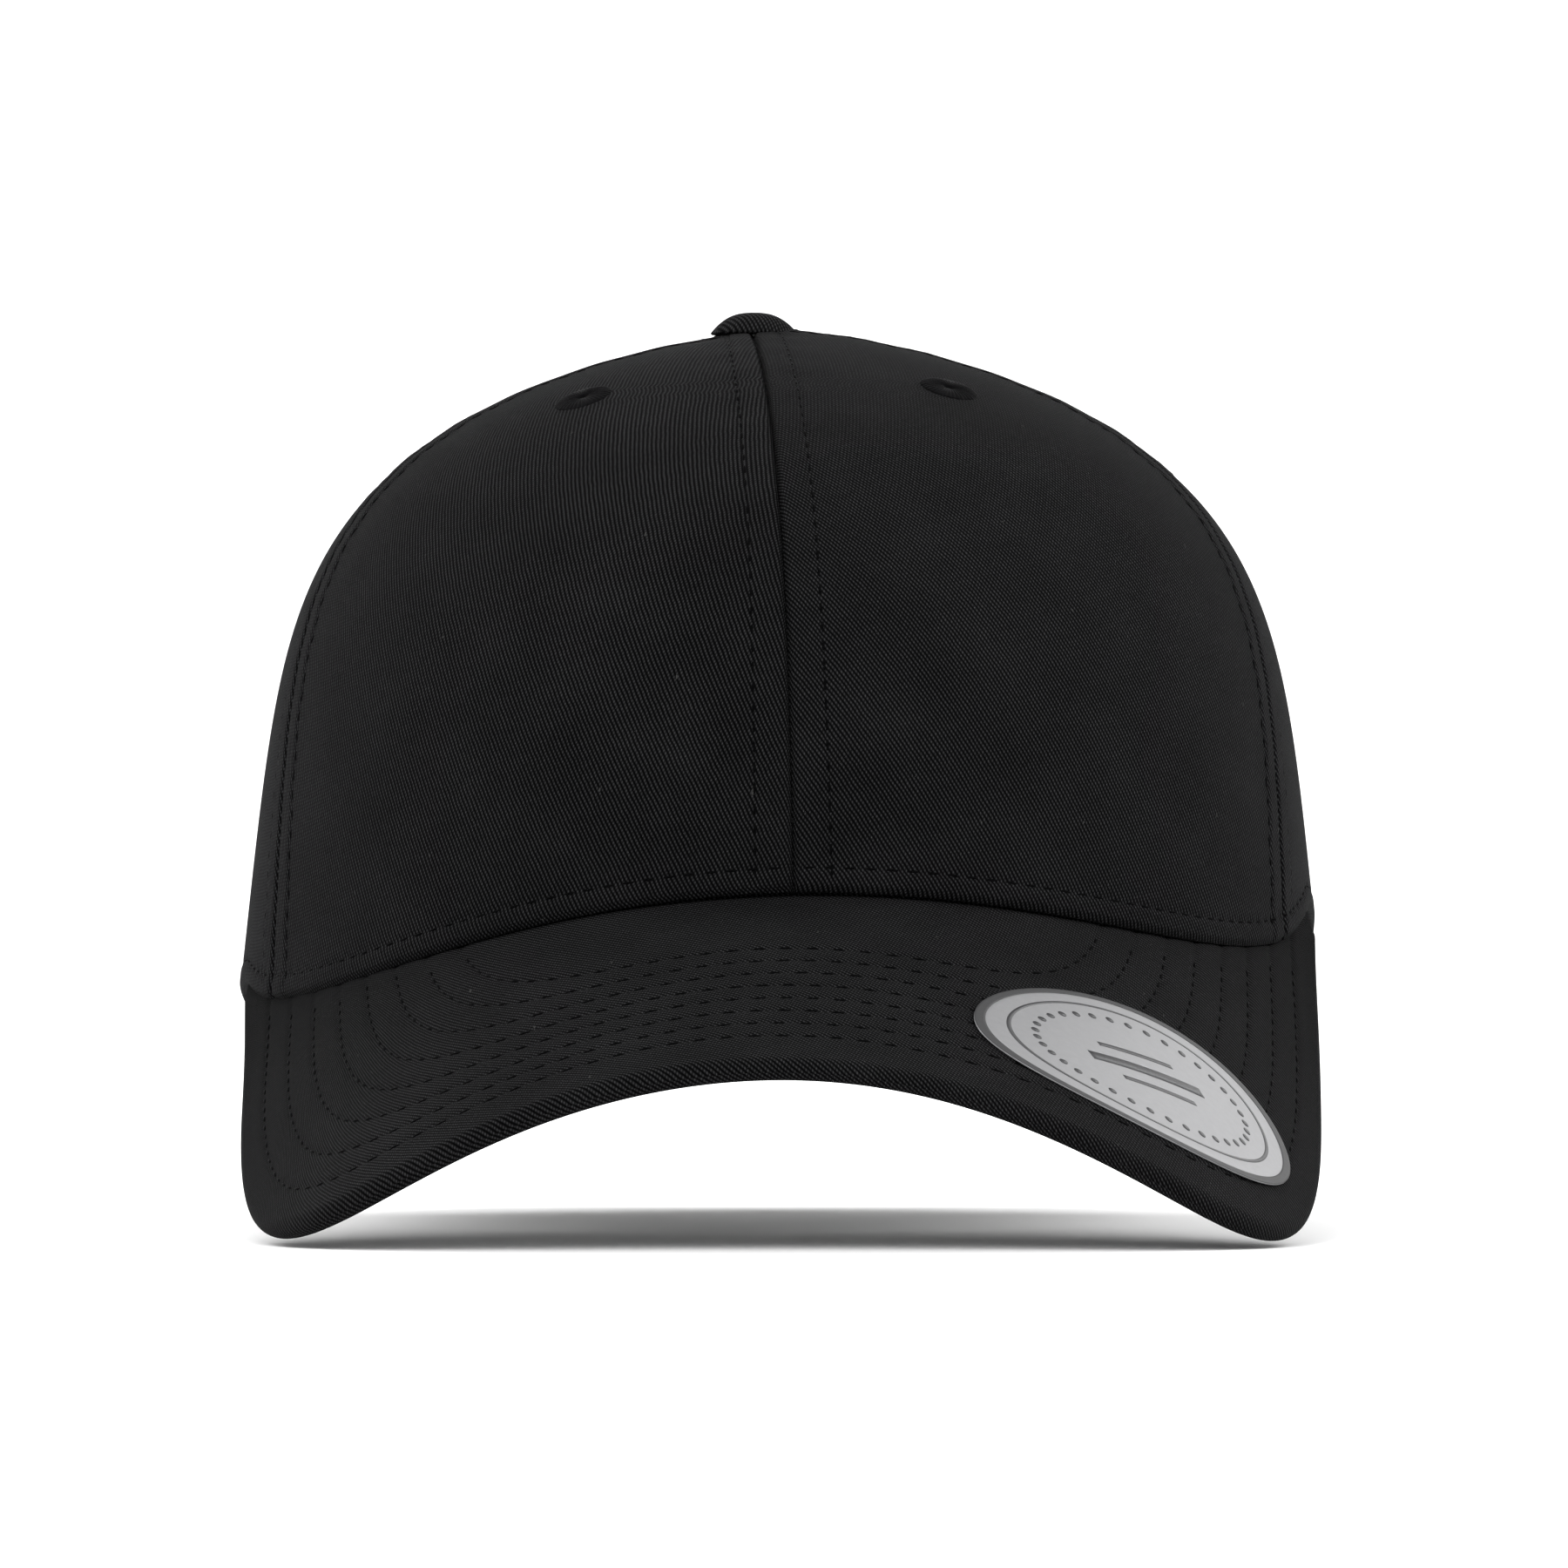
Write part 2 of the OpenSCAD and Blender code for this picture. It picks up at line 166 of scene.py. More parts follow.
def crown_at_z(a, z):
    """A point of the crown's outer face at heading a (degrees from the front) and height z."""
    a, z = np.broadcast_arrays(np.asarray(a, float), np.asarray(z, float))
    ex = np.sin(np.radians(a))
    ey = -np.cos(np.radians(a))
    rise = np.clip((z - WALL_Z) / DOME_H, 0, 1)
    m = (1 - rise ** by_heading(TOP_POWER, ex, ey)) ** (1 / by_heading(FOOT_POWER, ex, ey))
    wx = m * ex + APEX_PULL * (1 - m)
    wy = m * ey
    reach = np.hypot(wx, wy)
    safe = np.maximum(reach, 1e-4)
    fx = np.where(reach > 1e-4, wx / safe, ex)
    fy = np.where(reach > 1e-4, wy / safe, ey)
    up = np.maximum(0, 1 - reach ** by_heading(FOOT_POWER, fx, fy)) ** (1 / by_heading(TOP_POWER, fx, fy))
    height = np.where(rise > 0, WALL_Z + DOME_H * up, z)
    r = plan_r(fx, fy) * reach * (1 - LEAN * np.maximum(0, height - WALL_Z))
    return np.stack([r * fx, r * fy, height], axis=-1)


def bend_r(y):
    """Radius of the visor's bend across X, which grows towards the crown."""
    return VISOR_BEND_R + (y + 150) * VISOR_FLARE


def sheet_z(x, y):
    """Height of the visor's upper face."""
    bend = bend_r(y) - np.sqrt(np.maximum(0, bend_r(y) ** 2 - x * x))
    twist = VISOR_TWIST * x / (CROWN_W / 2) * (y + 150) / 115
    return VISOR_FRONT_Z + (y + VISOR_REACH) * VISOR_SLOPE - bend + twist


def visor_line_z(a):
    p = crown_at_z(a, 0)
    q = crown_at_z(a, sheet_z(p[..., 0], p[..., 1]))
    return sheet_z(q[..., 0], q[..., 1]) + CROWN_GAP


def edge_z(a):
    """Lower edge of the crown: just above the visor in front, level behind."""
    b = (np.asarray(a, float) + 180) % 360 - 180
    s = np.abs(b)
    side = visor_line_z(VISOR_END_A * np.sign(b))
    t = np.minimum(1, (s - VISOR_END_A) / (REAR_FLAT_A - VISOR_END_A))
    behind = lerp(REAR_Z, side, 0.5 + 0.5 * np.cos(np.pi * t))
    return np.where(s <= VISOR_END_A, visor_line_z(b), behind)


def height_on_crown(a, v):
    """Height above the lower edge: v is 0 at the edge and 1 at the top."""
    return (CROWN_H - edge_z(a)) * np.sin(np.radians(90 * np.asarray(v, float)))


def crown_v(a, v):
    return crown_at_z(a, edge_z(a) + height_on_crown(a, v))


def unit(v):
    return v / np.maximum(np.linalg.norm(v, axis=-1, keepdims=True), 1e-9)


def full_turn(count):
    return np.linspace(0, 2 * np.pi, count, endpoint=False)


def crown_normal(a, v):
    across = crown_v(a + 0.5, v) - crown_v(a - 0.5, v)
    along = crown_v(a, v + 0.004) - crown_v(a, v - 0.004)
    return unit(np.cross(across, along))


def crown(a, v, d):
    """A point d outside the crown's outer face."""
    return crown_v(a, v) + crown_normal(a, v) * np.asarray(d, float)[..., None]


def v_of_height(a, h):
    return np.degrees(np.arcsin(np.clip(h / (CROWN_H - edge_z(a)), -1, 1))) / 90


def seam_a(k, v):
    return lerp(SEAMS[k][0], SEAMS[k][1], v)


def radius_at(a, v):
    p = crown_v(a, v)
    return np.maximum(1, np.hypot(p[..., 0] + BUTTON_SHIFT, p[..., 1]))


def turn_for(a, v, width):
    return np.degrees(width / radius_at(a, v))


def at_xz(x, z):
    """Heading and v of the rear surface point above x at height z, by a few steps of correction."""
    a = 180 - np.degrees(np.arctan2(x, 90.0))
    v = v_of_height(a, z - edge_z(a))
    for _ in range(12):
        p = crown_v(a, v)
        a = a - np.degrees((x - p[..., 0]) / np.maximum(p[..., 1], 20))
        p = crown_v(a, v)
        v = np.clip(v + (z - p[..., 2]) / (CROWN_H * 1.4), 0, 0.98)
    return a, v


# ---------------- visor surface


def superellipse(psi, half_w, depth, power):
    ex = np.sin(np.radians(psi))
    ey = -np.cos(np.radians(psi))
    r = ((np.abs(ex) / half_w) ** power + (np.abs(ey) / depth) ** power) ** (-1 / power)
    return r * ex, VISOR_CENTRE_Y + r * ey


def visor_edge(u):
    """The visor's outline; u runs from -1 at the wearer's right end to 1 at the left."""
    power = VISOR_POWER + VISOR_CORNER * (u > 0)
    x, y = superellipse(u * VISOR_SPAN, VISOR_HALF_W, VISOR_REACH + VISOR_CENTRE_Y, power)
    return x * (1 + VISOR_SPREAD * (y + 110)), y


def visor_root(u):
    p = crown_v(u * VISOR_END_A, 0)
    k = 1 - VISOR_INSET / np.hypot(p[..., 0], p[..., 1])
    return p[..., 0] * k, p[..., 1] * k


def sheet_normal(x, y):
    dx = (sheet_z(x + 0.1, y) - sheet_z(x - 0.1, y)) / 0.2
    dy = (sheet_z(x, y + 0.1) - sheet_z(x, y - 0.1)) / 0.2
    return unit(np.stack([-dx, -dy, np.ones_like(dx)], axis=-1))


def on_sheet(x, y, d):
    """A point d above the visor's upper face."""
    base = np.stack([x, y, sheet_z(x, y)], axis=-1)
    return base + sheet_normal(x, y) * np.asarray(d, float)[..., None]


def developed(x, y):
    """Where a point of the visor lies when the sheet is unrolled: across, and forward of its centre."""
    r = bend_r(y)
    return r * np.arcsin(np.clip(x / r, -1, 1)), -(y - VISOR_CENTRE_Y)


# ---------------- mesh making


def object_from(name, points, faces, material, uvs=None):
    """A smooth mesh object from points in millimetres; uvs holds one pair for each point."""
    mesh = bpy.data.meshes.new(name)
    mesh.from_pydata((np.asarray(points) * MM).tolist(), [], faces)
    if uvs is not None:
        layer = mesh.uv_layers.new(name="cloth")
        loops = np.empty(len(mesh.loops), dtype=np.int32)
        mesh.loops.foreach_get("vertex_index", loops)
        layer.data.foreach_set("uv", np.asarray(uvs, dtype=np.float32)[loops].ravel())
    mesh.shade_smooth()
    mesh.materials.append(material)
    obj = bpy.data.objects.new(name, mesh)
    bpy.context.collection.objects.link(obj)
    return obj


def settle(obj, slot, *nodes, body="crown"):
    """Makes a piece ride on its body, in place of the CAD nodes if it has any."""
    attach(obj, body)
    if nodes:
        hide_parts(*nodes)


def steps(points, axis=0):
    """Distances between neighbours in a line or a grid of points."""
    return np.linalg.norm(np.diff(points, axis=axis), axis=-1)


def runs(points):
    """Running length along a line of points."""
    return np.concatenate([[0], np.cumsum(steps(points))])


def arc_uv(points):
    """Lengths along the two directions of a grid, from its middle column and first row."""
    middle = points.shape[0] // 2
    u = np.concatenate([np.zeros((1, points.shape[1])), np.cumsum(steps(points), axis=0)])
    u -= u[middle]
    return np.stack([u, np.broadcast_to(runs(points[middle]), u.shape)], axis=-1)


def shell(outer, inner, keep=None, closed=False):
    """Points and faces between two grids, open where keep is false, with walls round every border.

    Closed means that the grid's last row joins its first one.
    """
    ni, nj = outer.shape[:2]
    n = ni * nj
    index = np.arange(n).reshape(ni, nj)
    if closed:
        index = np.concatenate([index, index[:1]])
    if keep is None:
        keep = np.ones((len(index) - 1, nj - 1), bool)
    padded = np.zeros((len(index) + 1, nj + 1), bool)
    padded[1:-1, 1:-1] = keep
    if closed:
        padded[0] = padded[-2]
        padded[-1] = padded[1]
    faces = []
    for i, j in zip(*np.nonzero(keep)):
        a, b, c, d = index[i, j], index[i, j + 1], index[i + 1, j + 1], index[i + 1, j]
        faces.append((a, d, c, b))
        faces.append((n + a, n + b, n + c, n + d))
        sides = (
            (padded[i, j + 1], b, a),
            (padded[i + 2, j + 1], d, c),
            (padded[i + 1, j], a, d),
            (padded[i + 1, j + 2], c, b),
        )
        faces += [(q, p, n + p, n + q) for has_neighbour, p, q in sides if not has_neighbour]
    return np.concatenate([outer.reshape(-1, 3), inner.reshape(-1, 3)]), np.array(faces)


def skin(name, outer, inner, material, keep=None, closed=False, flat=None):
    """An object from a shell, with the outer grid's lengths, or the flat grid, as its cloth coordinates."""
    points, faces = shell(outer, inner, keep, closed)
    uv = (arc_uv(outer) if flat is None else flat).reshape(-1, 2)
    used, places = np.unique(faces, return_inverse=True)
    faces = places.reshape(faces.shape).tolist()
    return object_from(name, points[used], faces, material, np.concatenate([uv, uv])[used])


def joined(parts):
    """The points and faces of many parts as one part."""
    faces = []
    base = 0
    for points, part_faces in parts:
        faces.extend(tuple(base + v for v in face) for face in part_faces)
        base += len(points)
    return np.concatenate([points for points, _ in parts]), faces


def ring_faces(rows, cols, wrap_rows=False):
    """The faces of a grid of points whose last column joins its first one, and its rows too if wrapped."""
    faces = []
    for i in range(rows if wrap_rows else rows - 1):
        for j in range(cols):
            below = (i + 1) % rows
            right = (j + 1) % cols
            faces.append((i * cols + j, below * cols + j, below * cols + right, i * cols + right))
    return faces


def revolve(profile, segments):
    """Points and faces of a closed profile turned about Z; the profile is a list of (radius, height)."""
    r, height = np.array(profile, float).T
    turn = full_turn(segments)
    upright = np.broadcast_to(height, (segments, len(r)))
    points = np.stack([np.outer(np.cos(turn), r), np.outer(np.sin(turn), r), upright], axis=-1)
    return points.reshape(-1, 3), ring_faces(segments, len(r), wrap_rows=True)


def stood_at(origin, z, points):
    """Local points moved to the origin, with their Z turned to a direction that isn't Y."""
    x = unit(np.cross([0.0, 1.0, 0.0], z))
    y = np.cross(z, x)
    return origin + points[:, :1] * x + points[:, 1:2] * y + points[:, 2:3] * z


# ---------------- threads


def stitches(points, normals, pitch, fill=0.78):
    """Short threads along a line: each rises out of the cloth, lies on it and goes back in."""
    run = runs(points)
    t = np.linspace(0, 1, THREAD_RINGS)
    bow = np.sin(np.pi * t)
    height = 0.02 * bow**0.5 - 0.3 * (1 - bow**0.4)
    r = (THREAD_R * (0.45 + 0.55 * bow**0.4))[:, None, None]
    turn = full_turn(THREAD_SIDES)[None, :, None]
    faces = [face[::-1] for face in ring_faces(THREAD_RINGS, THREAD_SIDES)]
    first_end = range(THREAD_SIDES)
    last_end = range((THREAD_RINGS - 1) * THREAD_SIDES, THREAD_RINGS * THREAD_SIDES)
    faces += [tuple(first_end)[::-1], tuple(last_end)]
    parts = []
    for start in np.arange(0, run[-1] - pitch * 0.75, pitch):
        length = pitch * fill * rng.uniform(0.94, 1.04)
        place = start + t * length
        line = np.stack([np.interp(place, run, points[:, k]) for k in range(3)], axis=-1)
        normal = unit(np.stack([np.interp(place, run, normals[:, k]) for k in range(3)], axis=-1))
        side = unit(np.cross(normal, unit(np.gradient(line, axis=0))))
        wander = rng.uniform(-0.06, 0.06) * (t - 0.5) * 2
        line = line + normal * height[:, None] + side * wander[:, None]
        ring = side[:, None, :] * (np.cos(turn) * r) + normal[:, None, :] * (np.sin(turn) * r * 0.8)
        parts.append(((line[:, None, :] + ring).reshape(-1, 3), faces))
    return parts


def thread_object(name, parts):
    settle(object_from(name, *joined(parts), THREAD), "thread")


# ---------------- materials


class Nodes:
    """A short way to build one material. Values that pass between nodes are (node, output) pairs."""

    def __init__(self, name):
        self.mat = bpy.data.materials.new(name)
        self.mat.use_nodes = True
        self.tree = self.mat.node_tree
        self.shader = self.tree.nodes["Principled BSDF"]

    def add(self, kind, **settings):
        node = self.tree.nodes.new(kind)
        for key, value in settings.items():
            if key in node.inputs:
                node.inputs[key].default_value = value
            else:
                setattr(node, key, value)
        return node

    def link(self, value, node, into):
        self.tree.links.new(value[0].outputs[value[1]], node.inputs[into])

    def cloth(self):
        return (self.add("ShaderNodeUVMap", uv_map="cloth"), "UV")

    def solid(self):
        return (self.add("ShaderNodeTexCoord"), "Object")

    def math(self, operation, *values):
        node = self.add("ShaderNodeMath", operation=operation)
        for slot, value in enumerate(values):
            if isinstance(value, tuple):
                self.link(value, node, slot)
            else:
                node.inputs[slot].default_value = value
        return (node, 0)

    def scaled(self, value, scale, shift):
        return self.math("ADD", self.math("MULTIPLY", value, scale), shift)

    def blended(self, a, share_a, b, share_b):
        return self.math("ADD", self.math("MULTIPLY", a, share_a), self.math("MULTIPLY", b, share_b))

    def noise(self, coords, scale, detail=3.0, roughness=0.55):
        node = self.add("ShaderNodeTexNoise", Scale=scale, Detail=detail, Roughness=roughness)
        self.link(coords, node, "Vector")
        return (node, "Fac")

    def wave(self, coords, period):
        """Bands across X of the coordinates, in the coordinates' own unit."""
        node = self.add("ShaderNodeTexWave", Scale=2 * math.pi / (20 * period))
        self.link(coords, node, "Vector")
        return (node, "Fac")

    def turned(self, coords, degrees, stretch=(1, 1, 1)):
        node = self.add("ShaderNodeMapping", Rotation=(0, 0, math.radians(degrees)), Scale=stretch)
        self.link(coords, node, "Vector")
        return (node, "Vector")

    def ramp(self, value, stops):
        node = self.add("ShaderNodeValToRGB")
        elements = node.color_ramp.elements
        for element, (place, colour) in zip(elements, (stops[0], stops[-1])):
            element.position = place
            element.color = (*colour, 1)
        for place, colour in stops[1:-1]:
            elements.new(place).color = (*colour, 1)
        self.link(value, node, "Fac")
        return (node, "Color")

    def finish(self, colour, rough, height, distance, strength=1.0, **settings):
        """Joins colour, roughness and bump to the shader, sets its other inputs and gives the material."""
        bump = self.add("ShaderNodeBump", Strength=strength, Distance=distance)
        self.link(height, bump, "Height")
        self.link((bump, "Normal"), self.shader, "Normal")
        self.link(colour, self.shader, "Base Color")
        self.link(rough, self.shader, "Roughness")
        for key, value in settings.items():
            self.shader.inputs[key.replace("_", " ")].default_value = value
        return self.mat


# the twill's colours: the dark one is painted shade between the ridges, the light one the yarn's colour with
# a painted highlight on the ridge tops
TWILL_PITCH = 0.64
TWILL_DARK_GROOVE_SHADE = (0.0002, 0.0002, 0.0003)
TWILL_LIGHT_RIDGE_HIGHLIGHT = (0.0315, 0.0315, 0.0325)
LINT = (0.05, 0.05, 0.048, 1)


def shade(colour, scale):
    return tuple(c * scale for c in colour)


def twill(name, angle, pitch=TWILL_PITCH):
    """Black cotton twill: ridges at an angle, each broken into yarns, with soft uneven wear, lint, and
    painted highlight on the ridges and painted shade in the grooves.
    """
    n = Nodes(name)
    flat = n.cloth()
    wobble = n.noise(flat, 0.35, 2.0)
    both = n.add("ShaderNodeCombineXYZ")
    n.link(wobble, both, "X")
    n.link(wobble, both, "Y")
    jitter = n.add("ShaderNodeVectorMath", operation="SCALE", Scale=0.24)
    n.link((both, 0), jitter, 0)
    shifted = n.add("ShaderNodeVectorMath", operation="ADD")
    n.link(flat, shifted, 0)
    n.link((jitter, 0), shifted, 1)
    cloth = (shifted, 0)
    ridge = n.wave(n.turned(cloth, angle), pitch)
    yarn = n.wave(n.turned(cloth, angle + 62), pitch * 0.75)
    weave = n.math("MULTIPLY", ridge, n.scaled(yarn, 0.6, 0.4))
    patches = n.noise(flat, 0.06, 4.0, 0.6)
    fibre = n.noise(n.turned(cloth, angle, (1.6, 0.35, 1)), 2.4)
    worn = n.math("MULTIPLY", n.math("SUBTRACT", patches, 0.5), 0.35)
    lit = n.math("ADD", n.math("MULTIPLY", weave, n.scaled(fibre, 1.1, 0.35)), worn)
    middle = lerp(np.array(TWILL_DARK_GROOVE_SHADE), np.array(TWILL_LIGHT_RIDGE_HIGHLIGHT), 0.28)
    # this ramp paints shade into the grooves and highlight onto the ridges of the weave
    base = n.ramp(lit, [(0.05, TWILL_DARK_GROOVE_SHADE), (0.5, middle), (1.0, TWILL_LIGHT_RIDGE_HIGHLIGHT)])
    lint_map = n.noise(n.turned(flat, 20, (1, 0.4, 1)), 1.15, 1.0, 0.2)
    lint = n.math("MULTIPLY", n.math("GREATER_THAN", lint_map, 0.832), 0.5)
    # inputs 6 and 7 and output 2 are the node's colours
    mix = n.add("ShaderNodeMix", data_type="RGBA")
    n.link(lint, mix, 0)
    n.link(base, mix, 6)
    mix.inputs[7].default_value = LINT
    height = n.math("ADD", weave, n.math("MULTIPLY", fibre, 0.6))
    look = {"Sheen_Weight": 0.004, "Sheen_Roughness": 0.5, "Specular_IOR_Level": 0.02}
    return n.finish((mix, 2), n.scaled(patches, 0.16, 0.72), height, 0.00016, **look)


def thread_material(name, colour, sheen):
    n = Nodes(name)
    fibre = n.noise(n.solid(), 2600, 2.0)
    patch = n.noise(n.solid(), 90, 2.0)
    base = n.ramp(n.blended(fibre, 0.6, patch, 0.4), [(0.3, shade(colour, 0.6)), (0.7, shade(colour, 1.5))])
    rough = n.scaled(patch, 0.2, 0.45)
    look = {"Sheen_Weight": sheen, "Sheen_Roughness": 0.4, "Specular_IOR_Level": 0.01}
    return n.finish(base, rough, fibre, 0.00006, 0.6, **look)


def plain_weave(name, dark, light, pitch, sheen, rough=0.85):
    """A plain weave: two sets of yarns at right angles, with thick and thin places."""
    n = Nodes(name)
    flat = n.cloth()
    warp = n.wave(flat, pitch)
    weft = n.wave(n.turned(flat, 90), pitch)
    slub = n.noise(n.turned(flat, 0, (0.25, 1.5, 1)), 1.2)
    patches = n.noise(flat, 0.09)
    cloth = n.math("MULTIPLY", n.math("ADD", warp, weft), 0.5)
    mixed = n.blended(cloth, 0.55, n.math("ADD", slub, patches), 0.25)
    base = n.ramp(mixed, [(0.2, dark), (0.85, light)])
    look = {"Sheen_Weight": sheen, "Sheen_Roughness": 0.5, "Specular_IOR_Level": 0.3}
    return n.finish(base, n.scaled(patches, 0.12, rough - 0.06), mixed, 0.00012, **look)


def moulded_plastic(name, colour, rough=0.42):
    """Moulded plastic: a fine grain, faint flow marks and rubbed high spots."""
    n = Nodes(name)
    grain = n.noise(n.solid(), 1500)
    flow = n.noise(n.turned(n.solid(), 0, (1, 1, 0.25)), 60)
    base = n.ramp(flow, [(0.3, shade(colour, 0.75)), (0.7, shade(colour, 1.4))])
    return n.finish(base, n.scaled(grain, 0.18, rough - 0.09), grain, 0.00003, 0.7)


def brushed_metal(name, colour, rough=0.35):
    n = Nodes(name)
    brush = n.noise(n.turned(n.solid(), 15, (1, 60, 1)), 60, 4.0)
    tarnish = n.noise(n.solid(), 220)
    base = n.ramp(n.blended(brush, 0.5, tarnish, 0.5), [(0.3, shade(colour, 0.82)), (0.7, colour)])
    return n.finish(base, n.scaled(brush, 0.2, rough - 0.1), brush, 0.00002, 0.5, Metallic=1.0)


def printed_film(name, colour, metallic, rough):
    """A thin film on a backing: faint brushing and a slight orange-peel."""
    n = Nodes(name)
    flat = n.cloth()
    brush = n.noise(n.turned(flat, 0, (0.06, 5.0, 1)), 2.2, 4.0)
    peel = n.noise(flat, 0.7, 2.0)
    base = n.ramp(n.blended(brush, 0.6, peel, 0.4), [(0.3, shade(colour, 0.86)), (0.7, colour)])
    return n.finish(base, n.scaled(brush, 0.14, rough - 0.07), peel, 0.00002, 0.5, Metallic=metallic)


TWILL_FRONT = {"left": twill("twill_front_left", -33), "right": twill("twill_front_right", -23)}
TWILL_SIDE = twill("twill_side", -28)
TWILL_VISOR = twill("twill_visor", -48)
TWILL_BAND = twill("twill_band", 40, 0.6)
# the thread is darker than the cloth: painted shade of the stitch holes and the dips along each row
THREAD = thread_material("black_thread_painted_shade", (0.0012, 0.0012, 0.0013), 0.0)
EYELET_THREAD = thread_material("eyelet_thread", (0.0034, 0.0034, 0.0036), 0.004)
BUCKRAM = plain_weave("buckram", (0.42, 0.42, 0.4), (0.8, 0.8, 0.77), 0.9, 0.1)
TAPE = plain_weave("seam_tape", (0.002, 0.002, 0.0022), (0.012, 0.012, 0.0126), 0.55, 0.05)
SATIN = plain_weave("label_satin", (0.6, 0.6, 0.58), (0.86, 0.86, 0.84), 0.3, 0.5, 0.5)
PLASTIC = moulded_plastic("strap_plastic", (0.008, 0.008, 0.0085))
BOARD = moulded_plastic("board_plastic", (0.006, 0.006, 0.0065), 0.5)
STEEL = brushed_metal("button_steel", (0.62, 0.62, 0.61))
FOIL = printed_film("sticker_foil", (0.235, 0.235, 0.24), 0.3, 0.42)
FOIL_RIM = printed_film("sticker_rim", (0.014, 0.014, 0.015), 0.0, 0.6)
FOIL_INK = printed_film("sticker_ink", (0.03, 0.03, 0.032), 0.1, 0.45)

# ---------------- crown panels

# the six panels, in order of heading from the front seam round by the wearer's left
PLACES = [(place, "left") for place in ("front", "side", "rear")]
PLACES += [(place, "right") for place in ("rear", "side", "front")]
GROOVE_DEEP = 0.95
WELT_HIGH = 0.26
HEM_ROW_H = 3.6


def slack_wave():
    return rng.uniform(0.02, 0.07), rng.uniform(0.02, 0.06), rng.uniform(0, 6.3), rng.uniform(0.3, 1)


SLACK_WAVES = [slack_wave() for _ in range(9)]


def tug(length, amount, pitch=STITCH_PITCH):
    """The small waves that stitches pull into the cloth beside them."""
    return amount * np.sin(2 * np.pi * length / pitch)


def topstitch_w(v):
    """Distance of the topstitch row from its seam."""
    return lerp(5.8, 4.2, v)


def welt(rho, v, s):
    """Relief beside a seam: the groove, the raised seam allowance and the row that holds it down."""
    w = topstitch_w(v)
    plateau = WELT_HIGH * ease(rho / 1.5) * (1 - ease((rho - w + 0.9) / 1.7))
    row = -0.1 * bell(rho - w, 0.5) + tug(s, 0.06) * bell(rho - w, 1.1)
    drag = 0.07 * np.sin(2 * np.pi * s / 11.0 + 1.3) * bell(rho - w, 4.0)
    return -GROOVE_DEEP * bell(rho, 0.4) + plateau + row + drag


def relief(k, a, v):
    """How far panel k's cloth stands off the plain crown surface."""
    v = np.asarray(v, float)
    r = radius_at(a, v)
    height = height_on_crown(a, v)
    s = 165 * v
    left = np.radians(a - seam_a(k, v)) * r
    right = np.radians(seam_a(k + 1, v) - a) * r
    seams = welt(left, v, s) + welt(right, v, s + 1.1)
    girth = np.radians(a) * 95
    above = height - HEM_ROW_H
    hem_row = -0.16 * bell(above, 0.55) + tug(girth, 0.08) * bell(above, 1.0)
    hem = 0.2 * (1 - ease((above + 1.0) / 1.6)) - 0.7 * (1 - ease(height))
    slack = sum(0.1 * amount * np.sin(f * girth + g * height + p) for f, g, p, amount in SLACK_WAVES)
    fade = ease((1 - v) / 0.12)
    return seams * lerp(0.6, 1, fade) + hem_row + hem + slack * fade


def snap_border(points, normals, keep, onto):
    """Moves the points between kept and dropped cells onto a curve; onto gives the target for each."""
    ni, nj = points.shape[:2]
    near_kept = np.zeros((ni, nj), bool)
    near_dropped = np.zeros((ni, nj), bool)
    for di in (0, 1):
        for dj in (0, 1):
            near_kept[di : ni - 1 + di, dj : nj - 1 + dj] |= keep
            near_dropped[di : ni - 1 + di, dj : nj - 1 + dj] |= ~keep
    border = near_kept & near_dropped
    points[border] = onto(points[border], normals[border])


def onto_arch(points, normals):
    """The nearest point of the arch's outline, kept on the crown by sliding along its tangent plane."""
    x = points[:, 0]
    z = points[:, 2]
    low = z < ARCH_Z
    grow = ARCH_R / np.maximum(np.hypot(x, z - ARCH_Z), 1e-6)
    new_x = np.where(low, np.sign(x) * ARCH_R, x * grow)
    new_z = np.where(low, z, ARCH_Z + (z - ARCH_Z) * grow)
    y = points[:, 1] - (normals[:, 0] * (new_x - x) + normals[:, 2] * (new_z - z)) / normals[:, 1]
    return np.stack([new_x, y, new_z], axis=-1)


def onto_circle(centre, axis, radius):
    def move(points, _normals):
        offset = points - centre
        along = (offset @ axis)[:, None] * axis
        return centre + unit(offset - along) * radius + along

    return move


def in_arch(points, radius=ARCH_R):
    x = points[..., 0]
    z = points[..., 2]
    below = (np.abs(x) < radius) & (z < ARCH_Z)
    return (points[..., 1] > 0) & (below | (np.hypot(x, z - ARCH_Z) < radius))


def panel_grid(k, cols, rows, low_v, high_v, edge_gap):
    """Headings and v of a panel's grid, closer together near its seams and its lower edge."""
    t = np.linspace(0, 1, cols + 1)
    t = t - 0.78 * np.sin(2 * np.pi * t) / (2 * np.pi)
    q = np.linspace(0, 1, rows + 1)
    v = lerp(low_v, high_v, q - 0.6 * np.sin(np.pi * q) / np.pi * (1 - q))
    v = np.broadcast_to(v, (cols + 1, rows + 1))
    left = seam_a(k, v)
    right = seam_a(k + 1, v)
    trim = turn_for(left, v, edge_gap)
    return lerp(left + trim, right - trim, t[:, None]), v


def eyelet_a(k):
    return (seam_a(k, EYELET_V) + seam_a(k + 1, EYELET_V)) / 2


